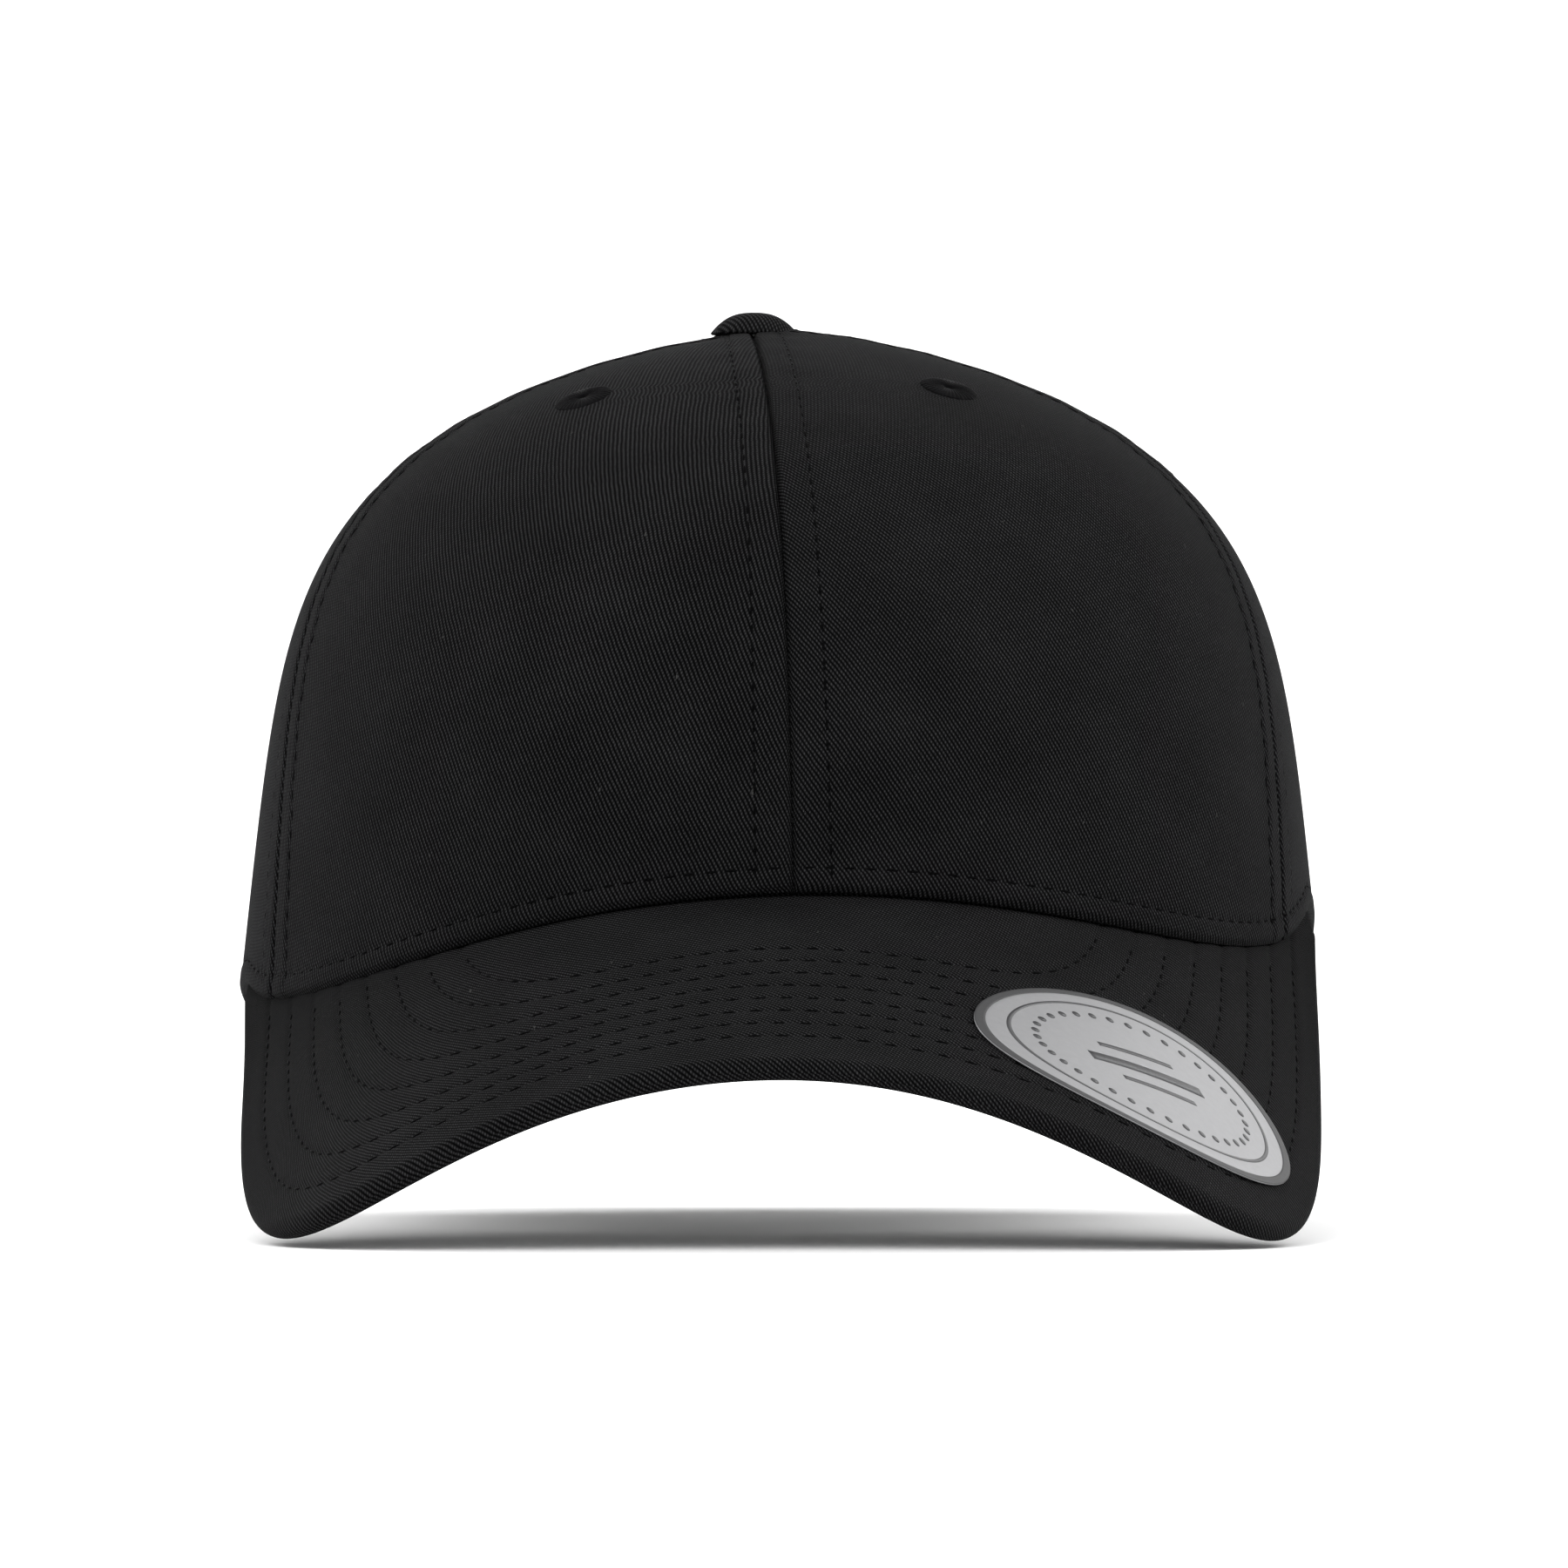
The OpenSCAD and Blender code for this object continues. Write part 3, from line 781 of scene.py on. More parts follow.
def make_shell(name, k, a, v, outer_d, inner_d, material):
    """A panel-shaped shell between two depths, less its eyelet hole and its share of the rear arch."""
    grids = crown(a, v, outer_d), crown(a, v, inner_d)
    normals = crown_normal(a, v)
    centre = crown(eyelet_a(k), EYELET_V, 0.0)
    outer = grids[0]
    middle = (outer[:-1, :-1] + outer[1:, :-1] + outer[:-1, 1:] + outer[1:, 1:]) / 4
    keep = np.linalg.norm(middle - centre, axis=-1) > EYELET_HOLE_R
    round_hole = onto_circle(centre, crown_normal(eyelet_a(k), EYELET_V), EYELET_HOLE_R)
    for points in grids:
        snap_border(points, normals, keep, round_hole)
    if PLACES[k][0] == "rear":
        outside = ~in_arch(middle)
        for points in grids:
            snap_border(points, normals, outside, onto_arch)
        keep &= outside
    return skin(name, *grids, material, keep)


def crown_panel(k):
    place, side = PLACES[k]
    node = f"{place}_panel_{side}"
    material = TWILL_FRONT[side] if place == "front" else TWILL_SIDE
    a, v = panel_grid(k, 112, 150, 0.0, TOP_V, 0.0)
    d = relief(k, a, v)
    obj = make_shell(node + "_cloth", k, a, v, d, d - PANEL_T * 0.9, material)
    settle(obj, "twill", node)


def buckram_panel(k, node):
    a, v = panel_grid(k, 60, 80, 0.02, 0.94, 0.3)
    depth = np.full(a.shape, BUCKRAM_D)
    obj = make_shell(node + "_backing", k, a, v, -depth - 0.2, -depth - 0.8, BUCKRAM)
    settle(obj, "buckram", node)


def crown_row(k, a, v):
    """Stitches along a line on panel k, which stop short of the arch."""
    points = crown(a, v, relief(k, a, v))
    clear = ~in_arch(points, ARCH_R + 2)
    return stitches(points[clear], crown_normal(a, v)[clear], STITCH_PITCH)


def arch_rows(radius):
    """A row round each half of the rear opening, short of the back seam."""
    turn = np.linspace(0, 180, 120)
    up = np.radians(turn[turn <= 88])
    down = np.linspace(REAR_Z + 2, ARCH_Z, 14)
    z = np.concatenate([down, ARCH_Z + radius * np.sin(up)])
    parts = []
    for k, side in ((2, 1), (3, -1)):
        a, v = at_xz(np.concatenate([np.full(down.shape, radius), radius * np.cos(up)]) * side, z)
        parts += crown_row(k, a, v)
    return parts


def crown_stitching():
    """The two rows beside each seam, the row round the lower edge and the rows round the arch."""
    parts = []
    v = np.linspace(0.015, 0.955, 300)
    for k in range(len(PLACES)):
        for seam, side in ((k, 1), (k + 1, -1)):
            a = seam_a(seam, v)
            parts += crown_row(k, a + side * turn_for(a, v, topstitch_w(v)), v)
    for k in range(len(PLACES)):
        a = np.linspace(SEAMS[k][0] + 0.6, SEAMS[k + 1][0] - 0.6, 160)
        parts += crown_row(k, a, v_of_height(a, HEM_ROW_H))
    for offset in (2.6, 9.0):
        parts += arch_rows(ARCH_R + offset)
    thread_object("crown_topstitching", parts)


# ---------------- eyelets and button

EYELET_THREADS = 38
BUTTON_SEGMENTS = 96
BUTTON_GATHERS = 24


def sewn_eyelet(k):
    """A ring of dense satin stitches round a small hole: radial threads, a little uneven."""
    place, side = PLACES[k]
    node = f"eyelet_{place}_{side}"
    depth = 2.3 if place == "front" else 1.4
    top = [(0.75, -0.3), (0.85, 0.0), (1.3, 0.22), (2.2, 0.34), (3.2, 0.33), (3.95, 0.22), (4.45, 0.02)]
    rim = [(EYELET_R, -0.12), (4.3, -0.35), (2.2, -0.5)]
    back = [(2.2, 0.4), (3.6, 0.2), (3.7, -0.1), (2.2, -0.2)]
    profile = [(0.8, -depth)] + top + rim + [(r, h - depth) for r, h in back]
    points, faces = revolve(profile, EYELET_THREADS * 6)
    turn = np.arctan2(points[:, 1], points[:, 0])
    r = np.hypot(points[:, 0], points[:, 1])
    uneven = np.array([rng.uniform(-0.1, 0.22) for _ in range(EYELET_THREADS)])
    loose = uneven[np.round(turn / (2 * np.pi) * EYELET_THREADS).astype(int) % EYELET_THREADS]
    cord = np.abs(np.cos(turn * EYELET_THREADS / 2)) ** 0.8
    on_top = points[:, 2] > -0.3
    points[:, 2] += np.where(on_top, 0.13 * cord + 0.1 * loose, 0)
    points[:, :2] *= np.where((r > 3.8) & on_top, 1 + loose * 0.09, 1)[:, None]
    points[:, 2] -= np.where(on_top, r**2 / 150, 0)
    a = eyelet_a(k)
    axis = crown_normal(a, EYELET_V)
    centre = crown(a, EYELET_V, relief(k, a, EYELET_V) + 0.05)
    obj = object_from(node + "_stitched", stood_at(centre, axis, points), faces, EYELET_THREAD)
    settle(obj, "thread", node)


def covered_button():
    """Cloth stretched over a dome and tucked under its rim, with small gathers at the rim."""
    dome = [(BUTTON_R * t, BUTTON_H * (1 - t**2.7) + 0.1) for t in np.linspace(0.05, 1, 24)]
    tuck = [(BUTTON_R - 0.15, -0.15), (BUTTON_R - 1.1, -0.3), (BUTTON_R - 2.2, -0.2), (0.9, 0.1)]
    turn = full_turn(BUTTON_SEGMENTS)
    gather = [rng.uniform(-1, 1) for _ in range(BUTTON_GATHERS)]
    ripple = np.interp(turn, np.linspace(0, 2 * np.pi, BUTTON_GATHERS + 1), gather + gather[:1])
    rows = []
    for r, height in dome + tuck:
        weight = bell(r - BUTTON_R + 0.4, 1.2)
        radius = r * (1 + 0.012 * weight * ripple)
        upright = height + 0.07 * weight * ripple
        rows.append(np.stack([radius * np.cos(turn), radius * np.sin(turn), upright], axis=-1))
    points = np.concatenate(rows + [[[0, 0, BUTTON_H], [0, 0, 0.1]]])
    faces = ring_faces(len(rows), BUTTON_SEGMENTS)
    bottom = len(points) - 1
    last_row = (len(rows) - 1) * BUTTON_SEGMENTS
    for i in range(BUTTON_SEGMENTS):
        after = (i + 1) % BUTTON_SEGMENTS
        faces.append((bottom - 1, i, after))
        faces.append((bottom, last_row + after, last_row + i))
    place = points + crown_at_z(0, CROWN_H)
    obj = object_from("button_cover_cloth", place, faces, TWILL_SIDE, points[:, :2])
    settle(obj, "twill", "button_cover", "button_shell")


# ---------------- visor

VISOR_ROWS = 8
RIM_R = VISOR_T / 2
RIM_STEPS = 8
VISOR_NI = 380
VISOR_NJ = 110
UNDER_RELIEF = 0.8


def row_size(k):
    """Half-width, depth and squareness of stitch row k, on the unrolled sheet."""
    return 89 - 5.15 * k, 130.2 - 4.68 * k, 5 - 0.14 * k


def row_index(s, t):
    """Which row a point of the unrolled sheet lies on, as a number between rows; 0 is the outermost."""
    low = np.full(np.shape(s), -4.0)
    high = np.full(np.shape(s), 16.0)
    for _ in range(22):
        k = (low + high) / 2
        half_w, depth, power = row_size(k)
        outside = (np.abs(s) / half_w) ** power + (np.maximum(t, 0) / depth) ** power > 1
        high = np.where(outside, k, high)
        low = np.where(outside, low, k)
    return (low + high) / 2


def visor_relief(x, y):
    """Valleys where the rows pull the cloth down, small puffs between them."""
    s, t = developed(x, y)
    k = row_index(s, t)
    near = np.clip(np.round(k), 0, VISOR_ROWS - 1)
    along = np.arctan2(s, np.maximum(t, 1)) * 110
    pull = 1 + 0.22 * np.sin(2 * np.pi * along / VISOR_STITCH_PITCH + near * 2.4)
    valley = -0.15 * bell((k - near) * 4.9, 0.5) * pull
    inside = ease((k + 0.45) / 0.3) * (1 - ease((k - VISOR_ROWS + 0.55) / 0.3))
    puff = 0.025 * np.cos(2 * np.pi * (k - 0.5)) * inside
    slack = 0.05 * np.sin(0.11 * s + 0.07 * t) + 0.04 * np.sin(0.05 * s - 0.13 * t + 2)
    return valley + puff + slack


def visor_shell(name, sign, depth_scale):
    """One cover: the face and its half of the rounded rim. sign is 1 above and -1 below."""
    u = np.linspace(1, -1, VISOR_NI + 1)
    root = np.stack(visor_root(u), axis=-1)[:, None]
    edge = np.stack(visor_edge(u), axis=-1)[:, None]
    length = np.linalg.norm(edge - root, axis=-1)
    flat = np.linspace(0, 1, VISOR_NJ + 1)
    back = np.concatenate([flat, np.ones(RIM_STEPS)])
    turn = np.radians(np.concatenate([np.full(flat.shape, 90.0), np.linspace(90, 0, RIM_STEPS + 1)[1:]]))
    grids = []
    for r in (RIM_R, RIM_R - COVER_T):
        ahead = r * np.cos(turn) / length * (back >= 1)
        p = root + (edge - root) * (back * (1 - RIM_R / length) + ahead)[..., None]
        x, y = p[..., 0], p[..., 1]
        d = np.broadcast_to(r * np.sin(turn) - RIM_R, x.shape)
        if r == RIM_R:
            d = d + depth_scale * visor_relief(x, y) * np.sin(turn)
        grids.append(on_sheet(x, y, d if sign > 0 else -VISOR_T - d)[::sign])
    return skin(name, *grids, TWILL_VISOR)


def visor_covers():
    for place, sign, depth_scale in (("top", 1, 1.0), ("under", -1, UNDER_RELIEF)):
        obj = visor_shell(f"visor_{place}_cloth", sign, depth_scale)
        settle(obj, "twill", f"visor_{place}_cover")


def visor_stitching():
    parts = []
    for k in range(VISOR_ROWS):
        s, y = superellipse(np.linspace(-88, 88, 700), *row_size(k))
        x = bend_r(y) * np.sin(s / bend_r(y))
        heading = np.degrees(np.arctan2(x, -y))
        root_x, root_y = visor_root(np.clip(heading / VISOR_END_A, -1, 1))
        clear = (np.hypot(x, y) > np.hypot(root_x, root_y) + 2.2) & (np.abs(heading) < VISOR_END_A - 1)
        x, y = x[clear], y[clear]
        top = on_sheet(x, y, visor_relief(x, y) + 0.05)
        under = on_sheet(x, y, -VISOR_T - UNDER_RELIEF * visor_relief(x, y) - 0.05)
        skip = np.searchsorted(runs(top)[1:], rng.uniform(0, VISOR_STITCH_PITCH))
        for points, sign in ((top, 1), (under, -1)):
            parts += stitches(points[skip:], sign * sheet_normal(x, y)[skip:], VISOR_STITCH_PITCH, 0.68)
    thread_object("visor_topstitching", parts)


# ---------------- sticker

STICKER_HALF = (31.0, 19.5)
STICKER_TILT = 29.5
STICKER_AT = (57.4, -135.0)
STICKER_LIFT = 0.16
FOIL_T = 0.22
DOT_COUNT = 36
DOT_R = 0.7
# half-length, half-width and shift of each bar at the middle
BARS = ((11.5, 1.1, 0.0), (7.5, 0.5, 4.2), (7.5, 0.5, -4.2))


def sticker_place(px, py, d):
    """Puts points of the flat sticker on the visor, d above its lower face."""
    c, s = math.cos(math.radians(STICKER_TILT)), math.sin(math.radians(STICKER_TILT))
    flat_x = STICKER_AT[0] + px * c - py * s
    flat_y = STICKER_AT[1] + px * s + py * c
    x = VISOR_BEND_R * np.sin(flat_x / VISOR_BEND_R)
    return on_sheet(x, flat_y * math.cos(math.atan(VISOR_SLOPE)), STICKER_LIFT + d)


def sticker_band(name, inner, outer, low, high, material, rings=5):
    """A ring of film between two scaled ellipses, which curls up a little at the sticker's edge."""
    turn = full_turn(144)
    scale = np.linspace(inner, outer, rings + 1)
    px = STICKER_HALF[0] * np.outer(np.cos(turn), scale)
    py = STICKER_HALF[1] * np.outer(np.sin(turn), scale)
    lift = 3.5 * np.clip(scale - 0.9, 0, 1) ** 2
    curl = lift * (0.6 + 0.4 * np.sin(2 * turn + 0.5))[:, None]
    grids = sticker_place(px, py, high + curl), sticker_place(px, py, low + curl)
    return skin(name, *grids, material, closed=True, flat=np.stack([px, py], axis=-1))


def print_layers(px, py):
    return sticker_place(px, py, FOIL_T + 0.025), sticker_place(px, py, FOIL_T - 0.005)


def print_dot(angle):
    turn = full_turn(14)
    px = STICKER_HALF[0] * 0.665 * math.cos(angle) + DOT_R * np.cos(turn)
    py = STICKER_HALF[1] * 0.66 * math.sin(angle) + DOT_R * np.sin(turn)
    n = len(turn)
    faces = [tuple(range(n)), tuple(reversed(range(n, 2 * n)))]
    faces += [(i, n + i, n + (i + 1) % n, (i + 1) % n) for i in range(n)]
    return np.concatenate(print_layers(px, py)), faces


def print_bar(half_l, half_w, shift):
    along = np.linspace(-half_l, half_l, 24)
    across = np.linspace(-half_w, half_w, 3) + shift
    return shell(*print_layers(*np.meshgrid(along, across, indexing="ij")))


def foil_sticker():
    """Silver foil with a dark rim; the print is a plain inner ring, a row of dots and three bars."""
    foil = sticker_band("sticker_foil", 0.002, 1.0, 0.0, FOIL_T, FOIL, rings=12)
    rim = sticker_band("sticker_rim", 0.94, 1.0, FOIL_T, FOIL_T + 0.03, FOIL_RIM)
    ring = sticker_band("sticker_ring", 0.80, 0.825, FOIL_T, FOIL_T + 0.02, FOIL_INK, rings=2)
    parts = [print_dot(angle) for angle in full_turn(DOT_COUNT)]
    parts += [print_bar(*bar) for bar in BARS]
    points, faces = joined(parts)
    printed = object_from("sticker_print", points, faces, FOIL_INK, points[:, :2])
    settle(foil, "foil", "visor_sticker")
    for piece in (rim, ring, printed):
        settle(piece, "foil")


# ---------------- tapes, sweatband and label

# the place of each seam's tape, in order of heading; the back one starts above the rear opening
TAPES = ("front", "side_left", "rear_left", "back", "rear_right", "side_right")
BACK_TAPE_V = 0.39
BAND_ROWS = (BAND_H - 4, 3.2)


def inside_row(a, v, depth):
    return stitches(crown(a, v, -depth), -crown_normal(a, v), STITCH_PITCH)


def seam_tape(k, place, low_v):
    """A tape under a seam; gives the threads of its two rows."""
    across = np.linspace(-1, 1, 11)[:, None]
    v = np.broadcast_to(np.linspace(low_v, 0.85, 90), (len(across), 90))
    a = seam_a(k, v)
    a = a + across * turn_for(a, v, TAPE_HALF_W)
    ridge = 0.3 * bell(across * TAPE_HALF_W, 1.6)
    d = -TAPE_D + tug(165 * v, 0.06) * np.abs(across) ** 6 - 0.1 * ridge
    node = "seam_tape_" + place
    obj = skin(node + "_binding", crown(a, v, d), crown(a, v, d - 0.5 - ridge * 0.8), TAPE)
    settle(obj, "tape", node)
    parts = []
    row_v = np.linspace(low_v + 0.01, 0.84, 200)
    for side in (-0.82, 0.82):
        row_a = seam_a(k, row_v)
        row_a = row_a + side * turn_for(row_a, row_v, TAPE_HALF_W)
        parts += inside_row(row_a, row_v, TAPE_D + 0.52)
    return parts


def band_depth(a):
    return lerp(BAND_D, BAND_REAR_D, ease((np.abs(a) - 118) / 20))


def sweatband():
    """The padded band: a slightly soft face, a rolled lower edge and a flat sewn upper edge."""
    top, low = BAND_ROWS
    rolled = np.linspace(0.8, 3, 6)
    padded = np.linspace(3, BAND_H - 2.5, 24)
    sewn = np.linspace(BAND_H - 2.5, BAND_H, 6)
    a = np.linspace(BAND_END_A, -BAND_END_A, 420)
    a, h = np.meshgrid(a, np.concatenate([rolled[:-1], padded[:-1], sewn]), indexing="ij")
    front = 1 - ease((np.abs(a) - VISOR_END_A + 6) / 8)
    h = h - 2.2 * front * (1 - ease(h / 6))
    v = v_of_height(a, h)
    depth = band_depth(a)
    puff = 0.5 * (1 - ease((h - BAND_H + 5) / 2.5)) * ease((h - 0.8) / 3)
    girth = np.radians(a) * 92
    soft = 0.096 * np.sin(0.16 * girth + 0.9) * np.sin(0.12 * h) + 0.06 * np.sin(0.43 * girth + 0.2 * h)
    row = 0.25 * (bell(h - top, 0.6) + bell(h - low, 0.6)) + tug(girth, 0.08) * bell(h - top, 1.4)
    face = -depth - BAND_T - puff - soft + row
    obj = skin("sweatband_padded", crown(a, v, face), crown(a, v, -depth), TWILL_BAND)
    obj.data.flip_normals()
    settle(obj, "sweatband", "sweatband")
    parts = []
    line = np.linspace(BAND_END_A - 1, 1 - BAND_END_A, 900)
    for height in BAND_ROWS:
        parts += inside_row(line, v_of_height(line, height), band_depth(line) + BAND_T + 0.22)
    return parts


def arch_binding():
    """The tape that covers the raw edge of the rear opening, a little proud of the panels at the edge."""
    radius = np.linspace(ARCH_R + 0.05, ARCH_R + ARCH_TAPE_W - 0.2, 12)
    down = np.linspace(REAR_Z + 0.3, ARCH_Z, 12)[:-1]
    turn = np.radians(np.linspace(0, 180, 140))
    still = np.zeros(len(down))
    path_x = np.concatenate([still + 1, np.cos(turn), still - 1])
    path_z = np.concatenate([down - ARCH_Z, np.zeros(len(turn)), (down - ARCH_Z)[::-1]])
    lift = np.concatenate([still, np.sin(turn), still])
    x = np.outer(path_x, radius)
    z = ARCH_Z + path_z[:, None] + np.outer(lift, radius)
    a, v = at_xz(x, z)
    length = runs(np.stack([x[:, 5], z[:, 5]], axis=-1))
    out = (radius - ARCH_R) / 10
    d = -PANEL_T - 0.3 + tug(length, 0.08)[:, None] * bell(out - 0.26, 0.1)
    obj = skin("arch_binding", crown(a, v, d), crown(a, v, d - 0.5), TAPE)
    settle(obj, "tape", "arch_tape")


def lining():
    """All the cloth inside the crown, and its threads."""
    parts = []
    for k, place in enumerate(TAPES):
        parts += seam_tape(k, place, BACK_TAPE_V if place == "back" else 0.02)
    arch_binding()
    parts += sweatband()
    thread_object("lining_stitching", parts)


def care_label():
    """A blank satin label, hanging from its sewn top and curling a little at its free end."""
    a = seam_a(2, LABEL_V)
    across = np.linspace(-LABEL_W / 2, LABEL_W / 2, 40)
    down = np.linspace(LABEL_H, 0, 60)
    q, h = (grid[..., None] for grid in np.meshgrid(across, down, indexing="ij"))
    curl = 0.9 * (h / LABEL_H) ** 3 * np.cos(q / LABEL_W * 2.4) + 0.25 * np.sin(h * 0.35 + q * 0.08)
    along = np.array([math.cos(math.radians(a)), math.sin(math.radians(a)), 0.0])
    inward = np.array([-along[1], along[0], 0.0])
    base = crown(a, LABEL_V, -TAPE_D - 0.5 - 1.6) + along * q + inward * curl - np.array([0, 0, 1.0]) * h
    face = inward * 0.16
    obj = skin("care_label_satin", base - face, base + face, SATIN)
    settle(obj, "satin", "care_label", body="care_label")


# ---------------- straps


def arc(x, y, radius, first, last, count):
    """Points of an arc between two angles in degrees."""
    turn = np.radians(np.linspace(first, last, count))
    return list(zip(x + radius * np.cos(turn), y + radius * np.sin(turn)))


def flat_strap(outline, holes):
    """A plate with rounded edges, from closed loops of points, cut across so that it can bend."""
    curve = bpy.data.curves.new("strap_outline", "CURVE")
    curve.dimensions = "2D"
    curve.fill_mode = "BOTH"
    curve.extrude = STRAP_T / 2 - STRAP_EDGE_R
    curve.bevel_depth = STRAP_EDGE_R
    curve.bevel_resolution = 2
    curve.offset = -STRAP_EDGE_R
    for loop in [outline, *holes]:
        spline = curve.splines.new("POLY")
        spline.points.add(len(loop) - 1)
        for point, (x, y) in zip(spline.points, loop):
            point.co = (x, y, 0, 1)
        spline.use_cyclic_u = True
    holder = bpy.data.objects.new("strap_outline", curve)
    bpy.context.collection.objects.link(holder)
    bpy.context.view_layer.update()
    mesh = bmesh.new()
    mesh.from_mesh(holder.evaluated_get(bpy.context.evaluated_depsgraph_get()).to_mesh())
    bpy.data.objects.remove(holder)
    bmesh.ops.remove_doubles(mesh, verts=mesh.verts, dist=0.001)
    for place in np.arange(1.5, max(x for x, _ in outline), 1.5):
        everything = mesh.verts[:] + mesh.edges[:] + mesh.faces[:]
        bmesh.ops.bisect_plane(mesh, geom=everything, plane_co=(place, 0, 0), plane_no=(1, 0, 0))
    bmesh.ops.triangulate(mesh, faces=mesh.faces[:])
    mesh.verts.ensure_lookup_table()
    points = np.array([v.co for v in mesh.verts])
    faces = [tuple(v.index for v in f.verts) for f in mesh.faces]
    mesh.free()
    return points, faces


def strap_at(radius, a):
    """Length along a strap from its sewn end to a point a degrees past the place where it turns."""
    return math.radians(STRAP_TURN_A + STRAP_SEWN_A + a) * (radius + STRAP_T / 2)


def snap_places(radius):
    return [strap_at(radius, (k - STRAP_FIRST) * STRAP_PITCH_A) for k in range(SNAP_COUNT)]


def strap_plate(radius, hole_r):
    """The flat strap: x runs along it from its sewn end to its round corners."""
    length = strap_at(radius, (SNAP_COUNT - 1 - STRAP_FIRST) * STRAP_PITCH_A + STRAP_END_A)
    side = STRAP_H / 2
    x = length - STRAP_CORNER_R
    y = side - STRAP_CORNER_R
    low_corner = arc(x, -y, STRAP_CORNER_R, -90, 0, 9)
    high_corner = arc(x, y, STRAP_CORNER_R, 0, 90, 9)
    holes = [arc(place, 0, hole_r, 0, -351, 40) for place in snap_places(radius)] if hole_r else []
    return flat_strap([(0, -side), *low_corner, *high_corner, (0, side)], holes)


def bent(points, radius, sign):
    """Wraps a flat strap round its arc. It starts at its sewn end; sign tells which side that is."""
    middle = radius + STRAP_T / 2
    turn = np.radians(sign * (STRAP_TURN_A + STRAP_SEWN_A - np.degrees(points[:, 0] / middle)))
    r = middle + points[:, 2]
    return np.stack([r * np.sin(turn), STRAP_CY + r * np.cos(turn), STRAP_MID_Z + points[:, 1]], axis=-1)


def strap_object(node, parts):
    """A moulding from bent parts, with sharp edges, in place of the strap's CAD node and its root."""
    obj = object_from(node + "_moulding", *joined(parts), PLASTIC)
    obj.data.set_sharp_from_angle(angle=math.radians(40))
    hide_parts(node, node + "_root")
    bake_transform(obj)


def hole_strap():
    points, faces = strap_plate(HOLE_STRAP_R, STRAP_HOLE_R)
    strap_object("hole_strap", [(bent(points, HOLE_STRAP_R, 1), faces)])


def peg_strap():
    """The strap with pegs: each peg has a short neck and a rounded head."""
    points, faces = strap_plate(PEG_STRAP_R, None)
    parts = [(bent(points, PEG_STRAP_R, -1), faces)]
    neck = [(0.001, -0.5), (PEG_R, -0.5), (PEG_R, 0), (PEG_R - 0.1, 0.25), (PEG_R - 0.15, 1.2)]
    head = [(PEG_R, 1.6), (PEG_R, 2.0), (PEG_R - 0.3, 2.45), (PEG_R - 0.9, 2.65), (0.001, 2.7)]
    peg, peg_faces = revolve([(r, STRAP_T / 2 + h) for r, h in neck + head], 32)
    for place in snap_places(PEG_STRAP_R):
        parts.append((bent(peg + [place, 0, 0], PEG_STRAP_R, -1), [f[::-1] for f in peg_faces]))
    strap_object("peg_strap", parts)


# ---------------- build


def finish_cad():
    """Materials for the CAD solids that stay visible."""
    for node, material in (("visor_board", BOARD), ("button_tack", STEEL)):
        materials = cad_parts[node].data.materials
        materials.clear()
        materials.append(material)


for panel_index in range(len(PLACES)):
    crown_panel(panel_index)
crown_stitching()
buckram_panel(0, "buckram_left")
buckram_panel(5, "buckram_right")
for panel_index in range(len(PLACES)):
    sewn_eyelet(panel_index)
covered_button()
visor_covers()
visor_stitching()
foil_sticker()
lining()
care_label()
hole_strap()
peg_strap()
finish_cad()

# ---------------- stage, light and camera, in metres

# the wall stands far behind the cap, so that the cap can also be seen from behind without the wall in the
# way
WALL_Y = 4.0
WALL_BEND = 1.2
CAMERA_AT = (0.0, -1.75, 0.0484)
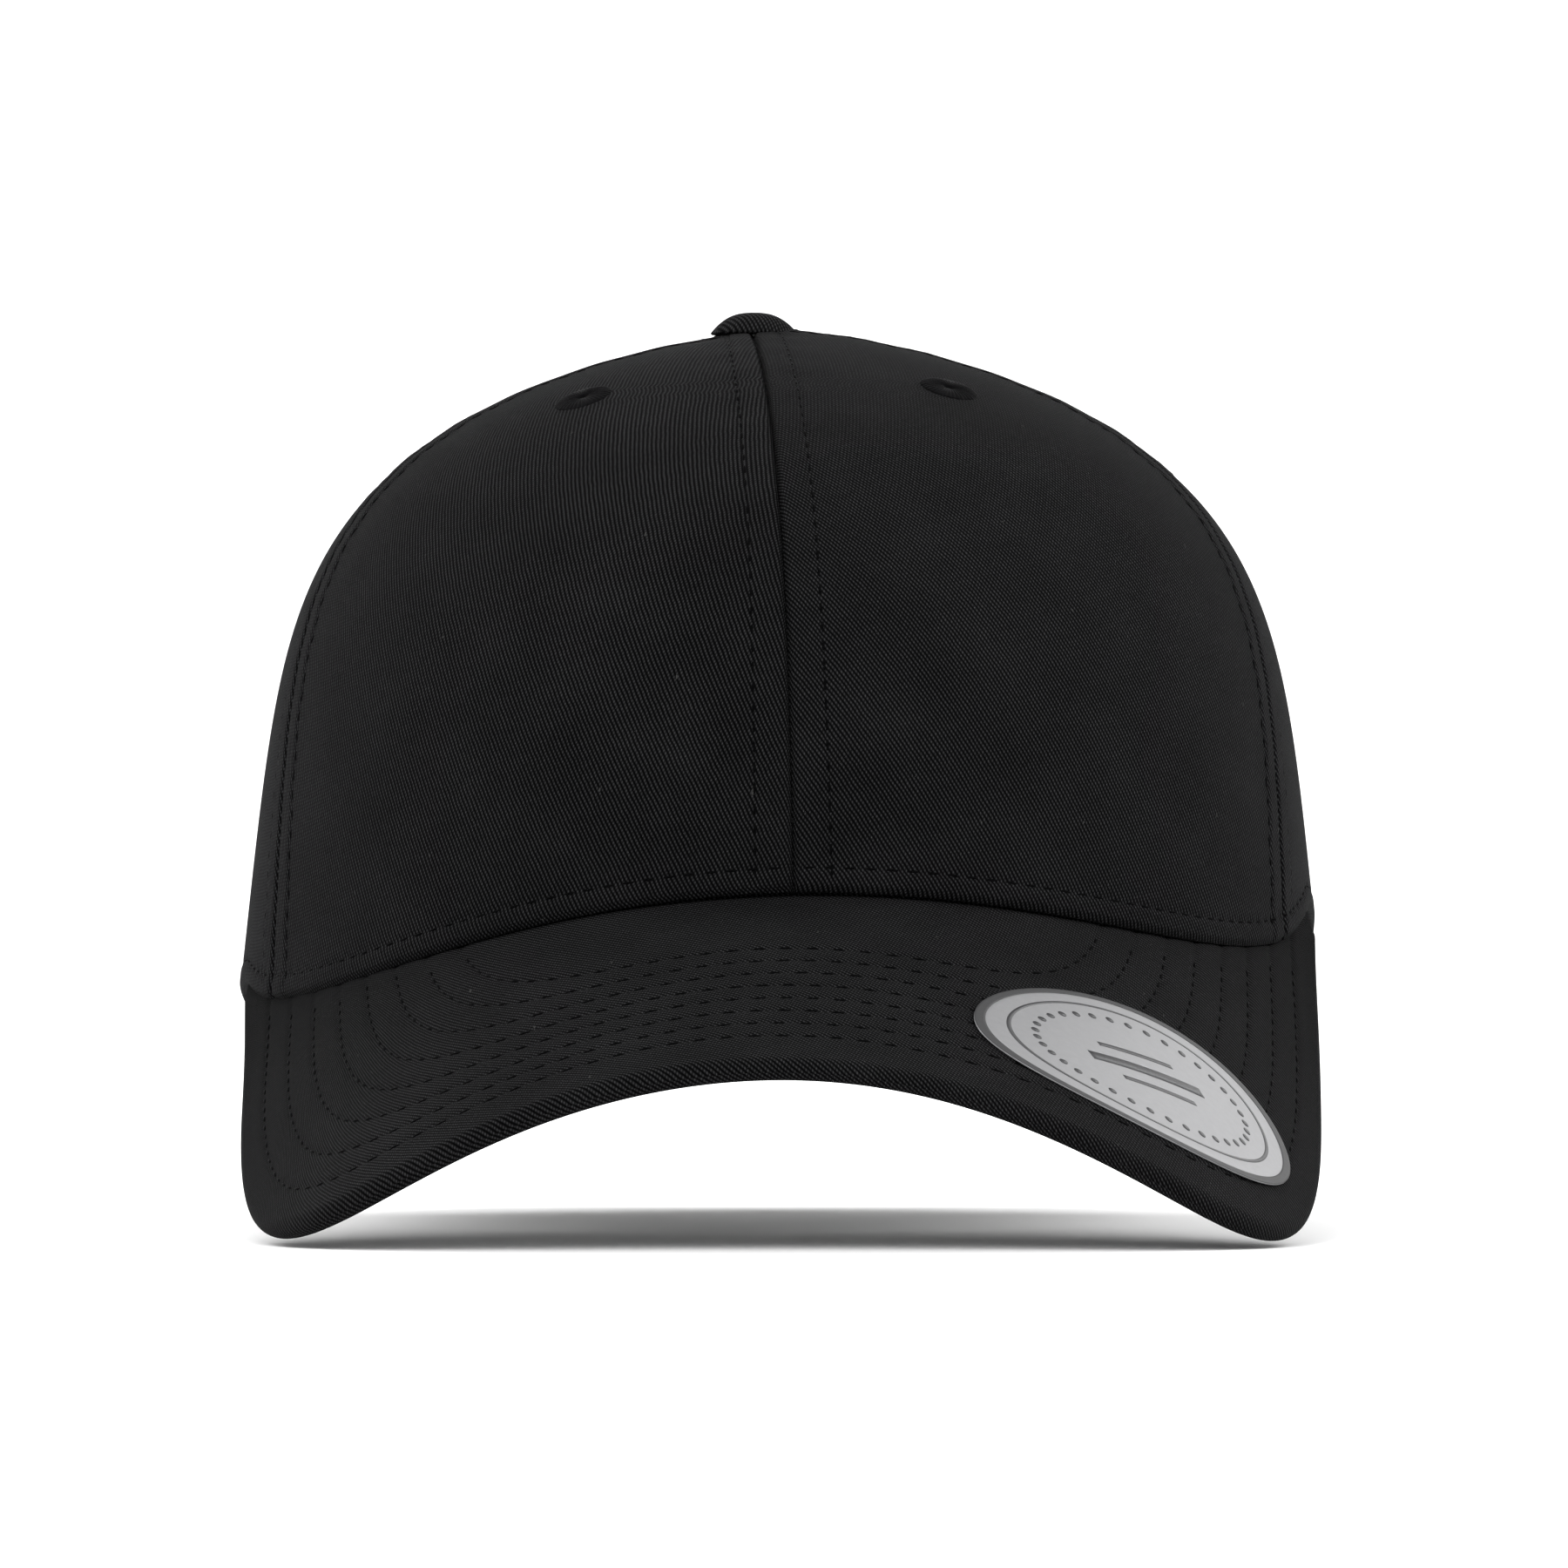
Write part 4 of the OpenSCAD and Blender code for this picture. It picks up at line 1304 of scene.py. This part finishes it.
# name, place, target, side and power of each square light
LIGHTS = (
    ("key_light", (-0.8, -1.4, 1.35), (0, 0, 0.07), 1.4, 23),
    ("fill_light", (1.3, -1.4, 0.9), (0, 0, 0.07), 1.4, 20),
    ("top_light", (0.0, 0.1, 1.8), (0, 0, 0.07), 1.4, 5),
    ("wall_light_left", (-1.6, 0.9, 1.4), (0, 2.4, 0.6), 1.2, 45),
    ("wall_light_right", (1.6, 0.9, 1.4), (0, 2.4, 0.6), 1.2, 45),
)


def pale_paint():
    mat = bpy.data.materials.new("backdrop_paint")
    mat.use_nodes = True
    shader = mat.node_tree.nodes["Principled BSDF"]
    shader.inputs["Base Color"].default_value = (0.96, 0.96, 0.96, 1)
    shader.inputs["Roughness"].default_value = 0.95
    return mat


def backdrop():
    """A pale floor that curves up into a wall behind the cap."""
    profile = [(-4.0, 0.0), (WALL_Y - WALL_BEND, 0.0)]
    for t in np.radians(np.linspace(0, 90, 24)):
        profile.append((WALL_Y - WALL_BEND * (1 - math.sin(t)), WALL_BEND * (1 - math.cos(t))))
    profile.append((WALL_Y, 4.0))
    verts = [(x, y, z - 0.0002) for x in (-5.0, 5.0) for y, z in profile]
    n = len(profile)
    mesh = bpy.data.meshes.new("backdrop")
    mesh.from_pydata(verts, [], [(i, n + i, n + i + 1, i + 1) for i in range(n - 1)])
    mesh.shade_smooth()
    mesh.materials.append(pale_paint())
    obj = bpy.data.objects.new("backdrop", mesh)
    bpy.context.collection.objects.link(obj)


def aimed(name, data, place, target):
    """An object at a place, which looks at the target."""
    obj = bpy.data.objects.new(name, data)
    obj.location = place
    obj.rotation_euler = (Vector(target) - Vector(place)).to_track_quat("-Z", "Y").to_euler()
    bpy.context.collection.objects.link(obj)
    return obj


def lights():
    for name, place, target, side, power in LIGHTS:
        light = bpy.data.lights.new(name, "AREA")
        light.shape = "SQUARE"
        light.size = side
        light.energy = power
        aimed(name, light, place, target)
    world = bpy.data.worlds.new("studio")
    bpy.context.scene.world = world
    world.use_nodes = True
    sky = world.node_tree.nodes["Background"]
    sky.inputs["Color"].default_value = (1, 1, 1, 1)
    sky.inputs["Strength"].default_value = 0.85


def camera():
    data = bpy.data.cameras.new("photo_camera")
    data.lens = 252.0
    data.sensor_width = 36.0
    bpy.context.scene.camera = aimed("photo_camera", data, CAMERA_AT, (0.0005, 0.0, 0.0696))


backdrop()
lights()
camera()
bpy.context.scene.view_settings.view_transform = "Standard"
